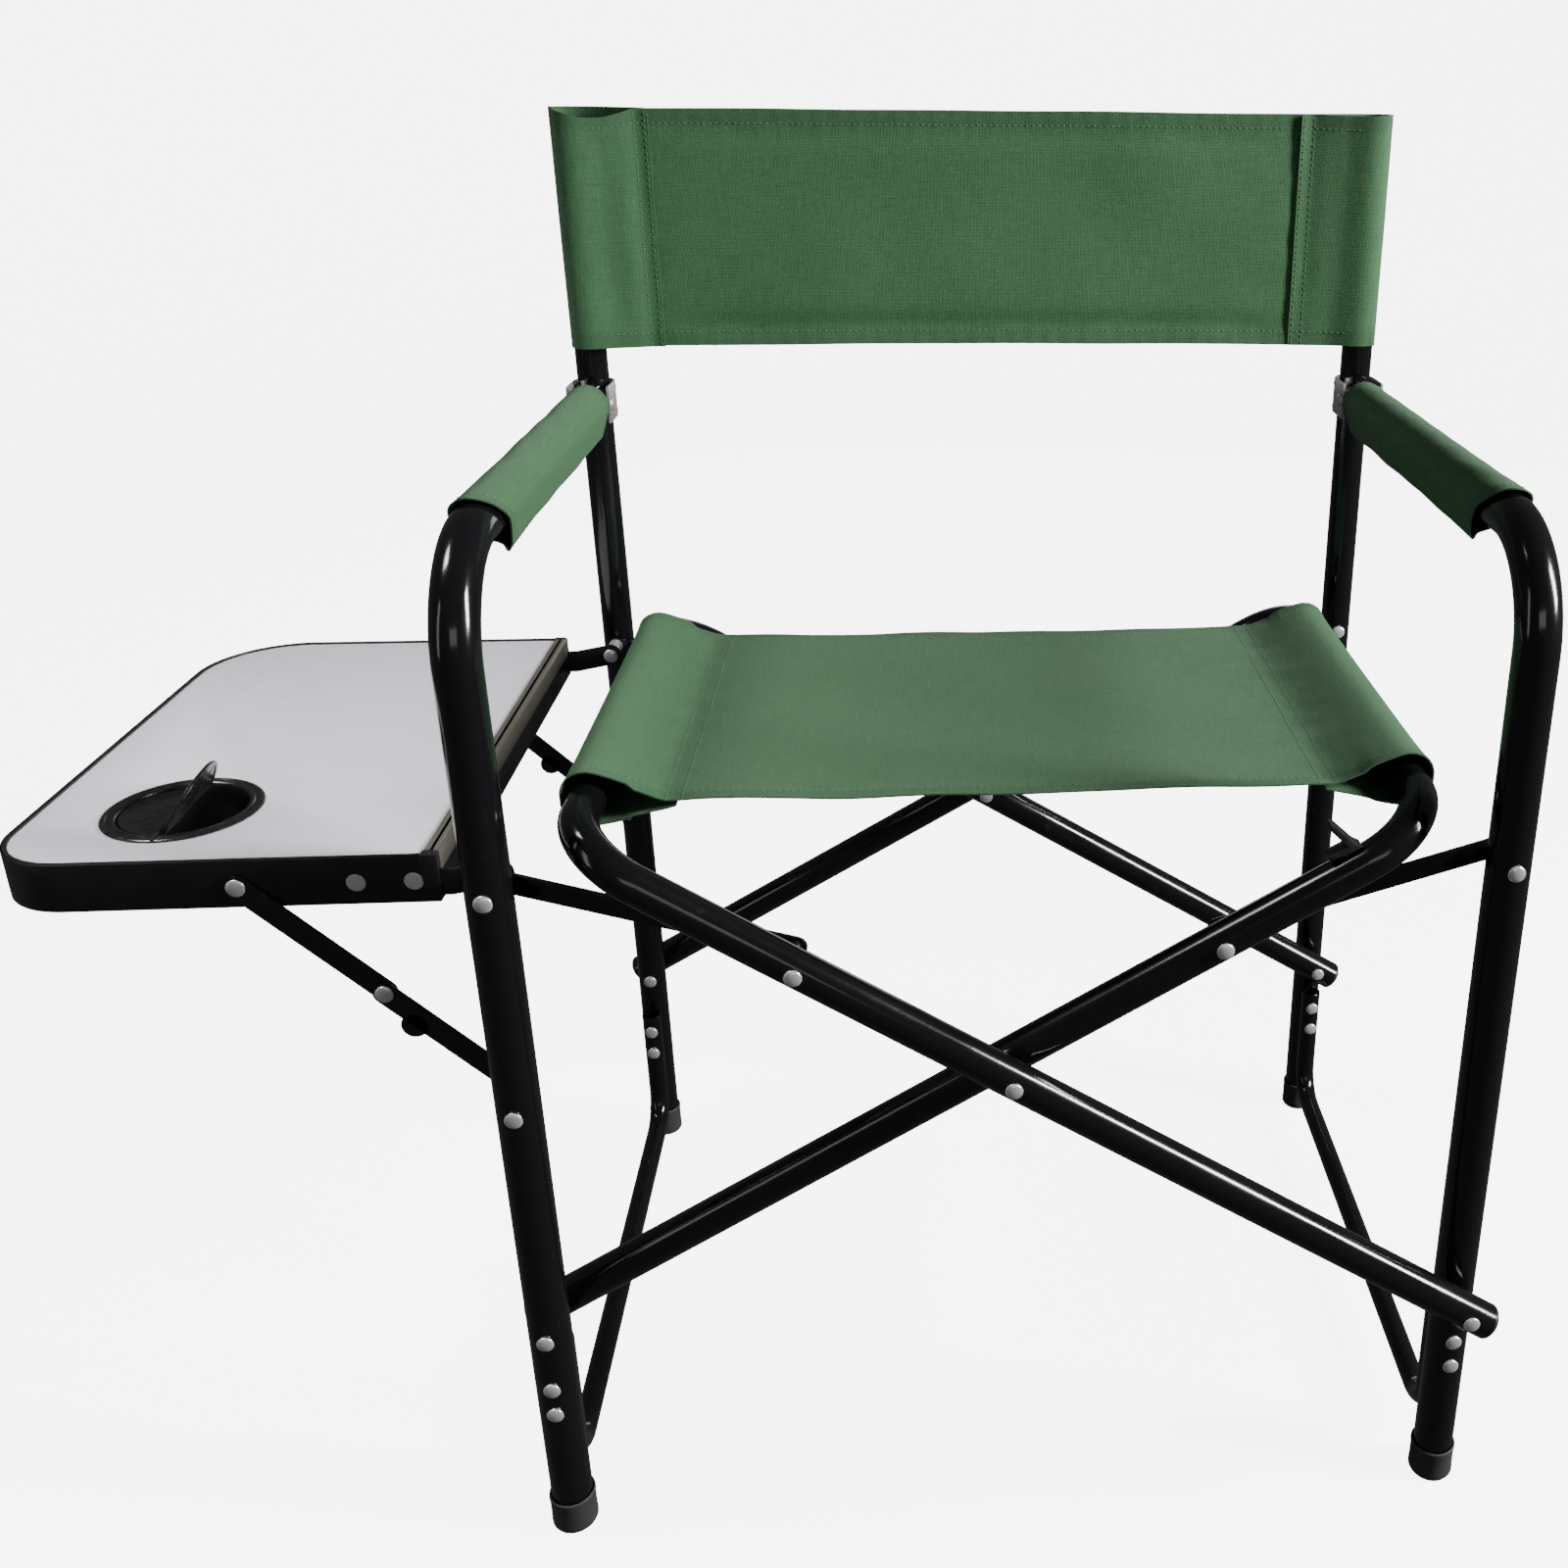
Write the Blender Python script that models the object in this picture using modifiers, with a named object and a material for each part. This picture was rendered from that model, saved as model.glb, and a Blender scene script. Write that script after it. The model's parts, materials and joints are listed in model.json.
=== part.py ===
"""Folding steel director chair with a fold-down side table.

Metres, +Z up. The chair faces -Y, so +X is on the right of someone looking at its front.
Every hinge axis runs along Y. Each object is parented to the empty of the body that it
moves with, and that empty sits on the body's hinge axis.

Heights and widths are given in the chair's own frame: x from the middle plane, y from the
front legs' plane (positive to the rear) and z from the floor. `at` turns them into world
coordinates, whose origin is on the floor under the centre of the whole object.
"""
import math

import bmesh
import bpy
from mathutils import Matrix, Vector

# ---------------------------------------------------------------- driving dimensions
MID_X = 0.1238          # world x of the chair's middle plane
FRONT_Y = -0.1998       # world y of the front legs' plane
GAP = 0.0003            # between faces that touch
HALF_WIDTH = 0.275      # middle plane to a leg's axis
DEPTH = 0.400           # front legs to rear posts

LEG_R = 0.0125          # front leg and armrest tube
POST_R = 0.011          # rear post
X_R = 0.011             # crossed seat tubes
BAR_R = 0.0075          # floor bar
WALL = 0.0012           # wall of every tube
ARM_Z = 0.627           # axis of the armrest
ARM_BEND = 0.060        # bend from the leg into the armrest
POST_TOP = 0.815
FOOT_FLOOR = 0.0037     # rubber under a tube's end

PIVOT_Z = 0.152         # lower hinge of the crossed tubes
CROSS_Z = 0.324         # where the tubes cross
LINK_Z = 0.445          # upper hinge of the links, and hinge of the table
RAIL_X = 0.233          # seat rail's axis at rest
RAIL_BEND = 0.042
FOLDED_ANGLE = math.radians(76.5)
TUBE_TAIL = 0.015       # tube past its lower hinge

BAR_Z = 0.028           # floor bar's axis
BAR_TOP = 0.126
BAR_BEND = 0.025

SHAFT_R = 0.0024        # rivets
HOLE_R = 0.0029
HEAD_R = 0.005
HEAD_H = 0.0022
SPACER_R = 0.005
LINK_W = 0.012
LINK_T = 0.003
BRACE_W = 0.013
BRACE_T = 0.0020
BRACE_HEAD_H = 0.0016

FABRIC = 0.0010         # sling fabric
PANEL_DROP = 0.004      # seat panel below the rails' axis
SEAM_X = 0.190          # seat pocket's seam
BACK_SEAM_X = 0.230
BACK_LOW, BACK_HIGH = 0.664, 0.822
SEAT_FRONT, SEAT_REAR = 0.0555, 0.3300
SLEEVE_FRONT, SLEEVE_REAR = 0.066, 0.370

TABLE_LEFT, TABLE_RIGHT = -0.543, -0.306
TABLE_FRONT, TABLE_REAR = 0.0194, 0.368
TABLE_TOP = 0.458
APRON_H = 0.028
APRON_T = 0.0016
EDGE_RAIL = 0.008       # thicker rail along the table's chair side
BRACE_PIN = (-0.410, 0.443)     # upper brace's hinge on the apron
CUP_X, CUP_Y = -0.462, 0.087
CUP_R = 0.037
CUP_FLANGE = 0.042
FLAP_OPEN = math.radians(60)    # the right flap stands open
FLAP_AXIS = 0.0013              # a flap's hinge from the cup's middle line

# crossed tubes: y of the axis at the lower hinge and at the crossing, front and rear
A_FRONT = (-0.0240, -0.0118)
A_REAR = (DEPTH - 0.0235, DEPTH - 0.0260)
B_FRONT = (0.0240, 0.0118)
B_REAR = (DEPTH + 0.0235, DEPTH - 0.0024)

# ---------------------------------------------------------------- what follows from them
ARM_LENGTH = math.hypot(HALF_WIDTH, CROSS_Z - PIVOT_Z)      # lower hinge to crossing
REST_ANGLE = math.atan2(CROSS_Z - PIVOT_Z, HALF_WIDTH)
RAIL_LENGTH = RAIL_X / math.cos(REST_ANGLE)                 # crossing to rail
RAIL_Z = CROSS_Z + RAIL_LENGTH * math.sin(REST_ANGLE)
LINK_RISE = LINK_Z - PIVOT_Z
# The link is as long at the folded angle as it is at rest when its end on the crossed
# tube lies this far from the crossing.
LINK_REACH = 1 / (2 * (math.sin(REST_ANGLE) + math.sin(FOLDED_ANGLE)) / LINK_RISE
                  - 1 / ARM_LENGTH)
LINK_END_X = LINK_REACH * math.cos(REST_ANGLE)
LINK_END_Z = CROSS_Z + LINK_REACH * math.sin(REST_ANGLE)
BRACE_REACH = math.hypot(BRACE_PIN[0] + HALF_WIDTH, BRACE_PIN[1] - LINK_Z)
BRACE_FOOT = (-HALF_WIDTH, LINK_Z - BRACE_REACH)            # lower brace's hinge on the leg
KNEE = ((BRACE_PIN[0] + BRACE_FOOT[0]) / 2, (BRACE_PIN[1] + BRACE_FOOT[1]) / 2)

BLACK_PAINT = ("black_paint", (0.012, 0.012, 0.013, 1), 0.25, 0.0)
ZINC = ("zinc", (0.62, 0.62, 0.60, 1), 0.35, 1.0)
RIVET_STEEL = ("rivet_steel", (0.72, 0.72, 0.74, 1), 0.30, 1.0)
BLACK_PLASTIC = ("black_plastic", (0.015, 0.015, 0.015, 1), 0.45, 0.0)
FOOT_RUBBER = ("foot_rubber", (0.03, 0.03, 0.03, 1), 0.75, 0.0)
GREEN_FABRIC = ("green_fabric", (0.052, 0.150, 0.066, 1), 0.85, 0.0)
TABLE_WHITE = ("table_laminate", (0.62, 0.60, 0.68, 1), 0.40, 0.0)


def at(x, y, z):
    return Vector((MID_X + x, FRONT_Y + y, z))


# ---------------------------------------------------------------- scene and bodies
for old in list(bpy.data.objects):
    bpy.data.objects.remove(old, do_unlink=True)

parts = bpy.data.collections.new("director_chair")
helpers = bpy.data.collections.new("helpers")
bpy.context.scene.collection.children.link(parts)
bpy.context.scene.collection.children.link(helpers)


def body_empty(name, x, z, parent=None):
    empty = bpy.data.objects.new(name + "_axis", None)
    empty.empty_display_size = 0.03
    parts.objects.link(empty)
    empty.parent = parent
    place = at(x, 0, z)
    empty.location = place if parent is None else place - body_place[parent.name]
    body_place[empty.name] = place
    return empty


body_place = {}
left_frame = body_empty("left_frame", 0, 0)
x_frame_b = body_empty("x_frame_b", -HALF_WIDTH, PIVOT_Z, left_frame)
x_frame_a = body_empty("x_frame_a", 0, CROSS_Z, x_frame_b)
right_frame = body_empty("right_frame", HALF_WIDTH, PIVOT_Z, x_frame_a)
left_links = body_empty("left_links", -HALF_WIDTH, LINK_Z, left_frame)
right_links = body_empty("right_links", HALF_WIDTH, LINK_Z, right_frame)
table = body_empty("table", -HALF_WIDTH, LINK_Z, left_frame)
upper_braces = body_empty("upper_braces", *BRACE_PIN, table)
lower_braces = body_empty("lower_braces", *BRACE_FOOT, left_frame)
flap_left = body_empty("flap_left", CUP_X - FLAP_AXIS, TABLE_TOP - 0.002, table)
flap_right = body_empty("flap_right", CUP_X + FLAP_AXIS, TABLE_TOP - 0.002, table)


def material(spec):
    name, colour, roughness, metallic = spec
    found = bpy.data.materials.get(name)
    if found:
        return found
    made = bpy.data.materials.new(name)
    made.use_nodes = True
    shader = made.node_tree.nodes["Principled BSDF"]
    shader.inputs["Base Color"].default_value = colour
    shader.inputs["Roughness"].default_value = roughness
    shader.inputs["Metallic"].default_value = metallic
    made.diffuse_color = colour
    return made


def add_part(name, mesh, matrix, body, finish):
    """Link a mesh as a part of a body; matrix is its place in the world."""
    piece = bpy.data.objects.new(name, mesh)
    parts.objects.link(piece)
    mesh.materials.clear()
    mesh.materials.append(material(finish))
    mesh.transform(matrix)
    mesh.transform(Matrix.Translation(-body_place[body.name]))
    piece.parent = body
    mesh.shade_smooth()
    mesh.set_sharp_from_angle(angle=math.radians(35))
    return piece


def mesh_of(curve_object, weld):
    """The evaluated mesh of a curve object, which is then removed."""
    graph = bpy.context.evaluated_depsgraph_get()
    mesh = bpy.data.meshes.new_from_object(curve_object.evaluated_get(graph))
    bpy.data.objects.remove(curve_object, do_unlink=True)
    if weld:
        work = bmesh.new()
        work.from_mesh(mesh)
        bmesh.ops.remove_doubles(work, verts=work.verts, dist=1e-6)
        work.to_mesh(mesh)
        work.free()
    return mesh


def rounded_path(corners, radius, steps=8):
    """A polyline whose inner corners are turned into arcs of the given radius."""
    path = [corners[0]]
    for before, corner, after in zip(corners, corners[1:], corners[2:]):
        back = (before - corner).normalized()
        ahead = (after - corner).normalized()
        half = back.angle(ahead) / 2
        reach = radius / math.tan(half)
        centre = corner + (back + ahead).normalized() * radius / math.sin(half)
        start = corner + back * reach - centre
        end = corner + ahead * reach - centre
        sweep = start.angle(end)
        for step in range(steps + 1):
            share = step / steps
            path.append(centre + (start * math.sin((1 - share) * sweep)
                                  + end * math.sin(share * sweep)) / math.sin(sweep))
    path.append(corners[-1])
    return path


def tube(name, path, radius, body, finish=BLACK_PAINT):
    """A hollow tube along a path."""
    curve = bpy.data.curves.new(name, "CURVE")
    curve.dimensions = "3D"
    curve.bevel_depth = radius
    curve.bevel_resolution = 4
    curve.render_resolution_u = 0
    spline = curve.splines.new("POLY")
    spline.points.add(len(path) - 1)
    for point, place in zip(spline.points, path):
        point.co = (*place, 1)
    holder = bpy.data.objects.new(name + "_path", curve)
    helpers.objects.link(holder)
    piece = add_part(name, mesh_of(holder, weld=True), Matrix(), body, finish)
    shell = piece.modifiers.new("wall", "SOLIDIFY")
    shell.thickness = WALL
    shell.offset = -1
    return piece


def drill(piece, x, z, y_low, y_high, along_x=False):
    """Cut a rivet hole along Y, or along X from y_low to y_high taken as x."""
    bpy.ops.mesh.primitive_cylinder_add(vertices=10, radius=HOLE_R,
                                        depth=y_high - y_low)
    cutter = bpy.context.object
    # turned so that no corner of the cutter meets an edge of a tube
    cutter.data.transform(Matrix.Rotation(math.radians(7), 4, "Z"))
    middle = (y_low + y_high) / 2
    if along_x:
        cutter.location = at(middle, x, z)
        cutter.rotation_euler = (0, math.pi / 2, 0)
    else:
        cutter.location = at(x, middle, z)
        cutter.rotation_euler = (math.pi / 2, 0, 0)
    subtract(piece, cutter)


def subtract(piece, cutter):
    for owner in list(cutter.users_collection):
        owner.objects.unlink(cutter)
    helpers.objects.link(cutter)
    cutter.name = piece.name + "_cutter"
    cutter.hide_render = True
    cutter.display_type = "WIRE"
    cut = piece.modifiers.new("cut", "BOOLEAN")
    cut.operation = "DIFFERENCE"
    cut.object = cutter


def arc(centre, radius, start, end, steps=8):
    """Points on a circle between two angles in degrees."""
    angles = [math.radians(start + (end - start) * i / steps) for i in range(steps + 1)]
    return [(centre[0] + radius * math.cos(a), centre[1] + radius * math.sin(a))
            for a in angles]


def plate(name, outlines, thickness, matrix, body, finish):
    """A flat outline, with holes if there are more outlines, of a given thickness."""
    curve = bpy.data.curves.new(name, "CURVE")
    curve.dimensions = "2D"
    curve.fill_mode = "BOTH"
    curve.extrude = thickness / 2
    curve.render_resolution_u = 0
    for outline in outlines:
        spline = curve.splines.new("POLY")
        spline.points.add(len(outline) - 1)
        for point, place in zip(spline.points, outline):
            point.co = (place[0], place[1], 0, 1)
        spline.use_cyclic_u = True
    holder = bpy.data.objects.new(name + "_outline", curve)
    helpers.objects.link(holder)
    return add_part(name, mesh_of(holder, weld=True), matrix, body, finish)


def upright(y):
    """Stand a plate's outline up in the chair's x-z plane, centred on y."""
    return Matrix.Translation(at(0, y, 0)) @ Matrix.Rotation(math.pi / 2, 4, "X")


def level(z):
    """Lay a plate's outline in the chair's x-y plane, centred on z."""
    return Matrix.Translation(at(0, 0, z))


def hole(x, z):
    return arc((x, z), HOLE_R, 0, 324, 9)


def bar_outline(start, end, width):
    """A flat bar between two hinge points, with round ends."""
    turn = math.degrees(math.atan2(end[1] - start[1], end[0] - start[0]))
    return (arc(end, width / 2, turn - 90, turn + 90)
            + arc(start, width / 2, turn + 90, turn + 270))


def turned(name, profile, matrix, body, finish, steps=12):
    """A turned piece: the profile's points are (radius, height); it may be a loop."""
    mesh = bpy.data.meshes.new(name)
    work = bmesh.new()
    looped = profile[0] == profile[-1]
    corners = [work.verts.new((radius, 0, height))
               for radius, height in (profile[:-1] if looped else profile)]
    if looped:
        corners.append(corners[0])
    for low, high in zip(corners, corners[1:]):
        work.edges.new((low, high))
    work.to_mesh(mesh)
    work.free()
    piece = bpy.data.objects.new(name, mesh)
    parts.objects.link(piece)
    mesh.materials.append(material(finish))
    piece.matrix_world = Matrix.Translation(-body_place[body.name]) @ matrix
    piece.parent = body
    lathe = piece.modifiers.new("lathe", "SCREW")
    lathe.steps = steps
    lathe.render_steps = steps
    lathe.use_merge_vertices = True
    lathe.merge_threshold = 1e-5
    lathe.use_smooth_shade = False
    return piece


def rivet(name, x, z, y_start, y_end, body, spacers=(), head=True, tail=True,
          head_h=HEAD_H):
    """A rivet along Y from under its head to under its tail, with fixed spacer sleeves."""
    profile = [(0.0, 0.0)]
    if head:
        profile = [(0.0, -head_h), (HEAD_R * 0.7, -head_h * 0.7), (HEAD_R, 0.0)]
    profile.append((SHAFT_R, 0.0))
    for low, high in spacers:
        profile += [(SHAFT_R, low - y_start), (SPACER_R, low - y_start),
                    (SPACER_R, high - y_start), (SHAFT_R, high - y_start)]
    length = y_end - y_start
    profile.append((SHAFT_R, length))
    if tail:
        profile += [(HEAD_R, length), (HEAD_R * 0.7, length + head_h * 0.7),
                    (0.0, length + head_h)]
    else:
        profile.append((0.0, length))
    clean = [p for i, p in enumerate(profile) if i == 0 or p != profile[i - 1]]
    along_y = Matrix.Translation(at(x, y_start, z)) @ Matrix.Rotation(math.pi / 2, 4, "X")
    mirrored = [(radius, -height) for radius, height in clean]
    return turned(name, mirrored, along_y, body, RIVET_STEEL, steps=10)


# ---------------------------------------------------------------- side frames
def side_frame(side, body):
    """Front leg with armrest, rear post, floor bar, feet, bracket and sleeve of one side."""
    x = -HALF_WIDTH if side == "left" else HALF_WIDTH
    inward = 1 if side == "left" else -1
    arm_end = DEPTH - POST_R - 0.002
    leg = tube("front_leg_" + side,
               rounded_path([at(x, 0, FOOT_FLOOR + GAP), at(x, 0, ARM_Z),
                             at(x, arm_end, ARM_Z)], ARM_BEND), LEG_R, body)
    post = tube("back_post_" + side,
                [at(x, DEPTH, FOOT_FLOOR + GAP), at(x, DEPTH, POST_TOP)], POST_R, body)
    for z in (PIVOT_Z, LINK_Z):
        drill(leg, x, z, -0.02, 0.02)
        drill(post, x, z, DEPTH - 0.02, DEPTH + 0.02)
    if side == "left":
        drill(leg, x, BRACE_FOOT[1], -0.02, 0.02)
        drill(post, x, BRACE_FOOT[1], DEPTH - 0.02, DEPTH + 0.02)

    bar_front = LEG_R + BAR_R + GAP
    bar_rear = DEPTH - POST_R - BAR_R - GAP
    tube("floor_bar_" + side,
         rounded_path([at(x, bar_front, BAR_TOP), at(x, bar_front, BAR_Z),
                       at(x, bar_rear, BAR_Z), at(x, bar_rear, BAR_TOP)], BAR_BEND, 6),
         BAR_R, body)

    for end, y, radius in (("front", 0, LEG_R), ("rear", DEPTH, POST_R)):
        bore = radius + GAP
        wall = bore + 0.0014
        turned(f"{end}_foot_{side}",
               [(0, FOOT_FLOOR), (bore, FOOT_FLOOR), (bore, 0.024), (wall, 0.024),
                (wall, 0.002), (wall - 0.002, 0), (0, 0)],
               Matrix.Translation(at(x, y, 0)), body, FOOT_RUBBER)

    arm_bracket(side, x, body)
    sleeve(side, x, inward, body)


def arm_bracket(side, x, body):
    """A zinc strap round the post whose ears hold the armrest's end, and its bolt."""
    inner = LEG_R + 0.0004
    outer = inner + 0.0018
    ear_front = DEPTH - 0.026
    strap = ([(x - outer, ear_front), (x - inner, ear_front)]
             + arc((x, DEPTH), inner, 180, 0, 10)
             + [(x + inner, ear_front), (x + outer, ear_front)]
             + arc((x, DEPTH), outer, 0, 180, 10))
    strap_piece = plate("arm_bracket_" + side, [strap], 0.026, level(ARM_Z), body, ZINC)
    bolt_y = DEPTH - 0.0195
    drill(strap_piece, bolt_y, ARM_Z, x - 0.03, x + 0.03, along_x=True)
    drill(bpy.data.objects["front_leg_" + side], bolt_y, ARM_Z, x - 0.03, x + 0.03,
          along_x=True)
    half = outer + GAP
    profile = [(0, half + HEAD_H), (HEAD_R * 0.7, half + HEAD_H * 0.7), (HEAD_R, half),
               (SHAFT_R, half), (SHAFT_R, -half), (HEAD_R, -half),
               (HEAD_R * 0.7, -half - HEAD_H * 0.7), (0, -half - HEAD_H)]
    along_x = (Matrix.Translation(at(x, bolt_y, ARM_Z))
               @ Matrix.Rotation(math.pi / 2, 4, "Y"))
    turned("arm_bolt_" + side, profile, along_x, body, ZINC, steps=10)


def teardrop(centre, radius, apex, steps=14):
    """A circle drawn out to an apex: the arc round the far side, then the apex."""
    dx, dz = apex[0] - centre[0], apex[1] - centre[1]
    toward = math.degrees(math.atan2(dz, dx))
    open_half = math.degrees(math.acos(radius / math.hypot(dx, dz)))
    return arc(centre, radius, toward + open_half, toward + 360 - open_half, steps) + [apex]


def sleeve(side, x, inward, body):
    """The loose fabric sleeve round an armrest; its seam hangs low on the inner side."""
    middle = (x, ARM_Z)
    apex = (x + inward * 0.006, ARM_Z - 0.0235)
    lined = (x + inward * 0.0058, ARM_Z - 0.0215)
    length = SLEEVE_REAR - SLEEVE_FRONT
    plate("arm_sleeve_" + side,
          [teardrop(middle, LEG_R + 0.0019, apex), teardrop(middle, LEG_R + 0.0009, lined)],
          length, upright((SLEEVE_FRONT + SLEEVE_REAR) / 2), body, GREEN_FABRIC)


side_frame("left", left_frame)
side_frame("right", right_frame)


# ---------------------------------------------------------------- crossed seat tubes
def crossed_tube(name, rail_side, front, rear, body):
    """One bent tube: front leg, seat rail and rear leg. rail_side is -1 or +1 in x."""
    slope = Vector((rail_side * math.cos(REST_ANGLE), math.sin(REST_ANGLE)))

    def along(reach, ends):
        """The axis `reach` past the crossing; ends holds y at the hinge and crossing."""
        lower_y, cross_y = ends
        y = cross_y - (lower_y - cross_y) * reach / ARM_LENGTH
        return at(slope.x * reach, y, CROSS_Z + slope.y * reach)

    tail = -(ARM_LENGTH + TUBE_TAIL)
    piece = tube(name, rounded_path([along(tail, front), along(RAIL_LENGTH, front),
                                     along(RAIL_LENGTH, rear), along(tail, rear)],
                                    RAIL_BEND), X_R, body)
    for ends in (front, rear):
        for reach in (-ARM_LENGTH, 0, LINK_REACH):
            centre = along(reach, ends) - at(0, 0, 0)
            drill(piece, centre.x, centre.z, centre.y - 0.016, centre.y + 0.016)
    bore = X_R - WALL - GAP
    for end, ends in (("front", front), ("rear", rear)):
        tip = along(tail, ends)
        outward = (tip - along(0, ends)).normalized()
        turned(f"tube_plug_{name[-1]}_{end}",
               [(0, -0.006), (bore, -0.006), (bore, GAP), (X_R, GAP), (X_R, 0.0015),
                (X_R * 0.75, 0.0040), (0, 0.0050)][::-1],
               Matrix.Translation(tip) @ outward.to_track_quat("Z", "Y").to_matrix().to_4x4(),
               body, BLACK_PLASTIC)
    return along


along_a = crossed_tube("x_tube_a", -1, A_FRONT, A_REAR, x_frame_a)
along_b = crossed_tube("x_tube_b", 1, B_FRONT, B_REAR, x_frame_b)


def tube_y(along, reach, ends):
    return (along(reach, ends) - at(0, 0, 0)).y


FACE = X_R + 0.0007     # a crossed tube's axis to what lies against it; it runs askew

# lower hinges, where the crossed tubes meet the side frames
rivet("lower_pivot_front_left", -HALF_WIDTH, PIVOT_Z, -LEG_R - GAP,
      B_FRONT[0] + FACE, left_frame)
rivet("lower_pivot_rear_left", -HALF_WIDTH, PIVOT_Z, DEPTH - POST_R - GAP,
      B_REAR[0] + FACE, left_frame)
rivet("lower_pivot_front_right", HALF_WIDTH, PIVOT_Z, A_FRONT[0] - FACE,
      LEG_R + GAP, right_frame)
rivet("lower_pivot_rear_right", HALF_WIDTH, PIVOT_Z, A_REAR[0] - FACE,
      DEPTH + POST_R + GAP, right_frame)
# hinges at the crossing
rivet("cross_pivot_front", 0, CROSS_Z, A_FRONT[1] - FACE, B_FRONT[1] + FACE, x_frame_b)
rivet("cross_pivot_rear", 0, CROSS_Z, A_REAR[1] - FACE, B_REAR[1] + FACE, x_frame_b)


# ---------------------------------------------------------------- links
# A link lies behind the leg and behind the crossed tube that it holds.
LINK_FRONT_LEFT = LEG_R + 0.0005
LINK_REAR_LEFT = DEPTH - POST_R - 0.0005 - LINK_T
LINK_FRONT_RIGHT = tube_y(along_b, LINK_REACH, B_FRONT) + FACE + 0.0009
LINK_REAR_RIGHT = DEPTH + POST_R + 0.0005


def link(name, x, y_front, body):
    end_x = math.copysign(LINK_END_X, x)
    plate(name, [bar_outline((x, LINK_Z), (end_x, LINK_END_Z), LINK_W), hole(x, LINK_Z)],
          LINK_T, upright(y_front + LINK_T / 2), body, BLACK_PAINT)


link("link_front_left", -HALF_WIDTH, LINK_FRONT_LEFT, left_links)
link("link_rear_left", -HALF_WIDTH, LINK_REAR_LEFT, left_links)
link("link_front_right", HALF_WIDTH, LINK_FRONT_RIGHT, right_links)
link("link_rear_right", HALF_WIDTH, LINK_REAR_RIGHT, right_links)


def link_pin(name, along, ends, rail_side, link_y, body):
    """The rivet in a crossed tube that meets a link's end; it stops just short of it."""
    y = tube_y(along, LINK_REACH, ends)
    spacers = [(y + FACE, link_y - GAP)] if link_y - GAP - y - FACE > 0.001 else []
    rivet(name, rail_side * LINK_END_X, LINK_END_Z, y - FACE, link_y - GAP, body,
          spacers, tail=False)


link_pin("link_pin_front_a", along_a, A_FRONT, -1, LINK_FRONT_LEFT, x_frame_a)
link_pin("link_pin_rear_a", along_a, A_REAR, -1, LINK_REAR_LEFT, x_frame_a)
link_pin("link_pin_front_b", along_b, B_FRONT, 1, LINK_FRONT_RIGHT, x_frame_b)
link_pin("link_pin_rear_b", along_b, B_REAR, 1, LINK_REAR_RIGHT, x_frame_b)

# the table's brackets lie inside its apron and share the left links' hinges
BRACKET_T = 0.0025
BRACKET_FRONT = TABLE_FRONT + APRON_T + GAP
BRACKET_REAR = TABLE_REAR - APRON_T - GAP - BRACKET_T
rivet("link_pivot_front_left", -HALF_WIDTH, LINK_Z, -LEG_R - GAP,
      BRACKET_FRONT + BRACKET_T + GAP, left_frame,
      [(LINK_FRONT_LEFT + LINK_T + GAP, BRACKET_FRONT - GAP)])
rivet("link_pivot_rear_left", -HALF_WIDTH, LINK_Z, BRACKET_REAR - GAP,
      DEPTH + POST_R + GAP, left_frame,
      [(BRACKET_REAR + BRACKET_T + GAP, LINK_REAR_LEFT - GAP)])
rivet("link_pivot_front_right", HALF_WIDTH, LINK_Z, -LEG_R - GAP,
      LINK_FRONT_RIGHT + LINK_T + GAP, right_frame,
      [(LEG_R + GAP, LINK_FRONT_RIGHT - GAP)])
rivet("link_pivot_rear_right", HALF_WIDTH, LINK_Z, DEPTH - POST_R - GAP,
      LINK_REAR_RIGHT + LINK_T + GAP, right_frame)


# ---------------------------------------------------------------- slings
def sling_outlines(centre_x, centre_v, radius, seam_x, panel_v):
    """Cross-section of a sling: a panel with a pocket round a tube at each side."""
    inner = radius + 0.0006
    outer = inner + FABRIC
    half = FABRIC / 2

    def pocket_arc(side, r, spread):
        centre = (side * centre_x, centre_v)
        dx, dv = side * seam_x - centre[0], panel_v - centre_v
        toward = math.degrees(math.atan2(dv, dx))
        gap_half = math.degrees(math.acos(r / math.hypot(dx, dv)))
        first, last = toward + gap_half, toward + 360 - gap_half
        points = arc(centre, r, first, last, 14)
        return points if spread else points + [(side * (seam_x + 0.004), panel_v)]

    right = pocket_arc(1, outer, True)
    left = pocket_arc(-1, outer, True)
    outline = (right + [(seam_x, panel_v + half), (-seam_x, panel_v + half)]
               + left + [(-seam_x, panel_v - half), (seam_x, panel_v - half)])
    return [outline, pocket_arc(1, inner, False), pocket_arc(-1, inner, False)]


seat_depth = SEAT_REAR - SEAT_FRONT
plate("seat_sling", sling_outlines(RAIL_X, RAIL_Z, X_R, SEAM_X, RAIL_Z - PANEL_DROP),
      seat_depth, upright((SEAT_FRONT + SEAT_REAR) / 2), x_frame_b, GREEN_FABRIC)
plate("back_sling", sling_outlines(HALF_WIDTH, DEPTH, POST_R, BACK_SEAM_X, DEPTH - 0.004),
      BACK_HIGH - BACK_LOW, level((BACK_LOW + BACK_HIGH) / 2), left_frame, GREEN_FABRIC)


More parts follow.
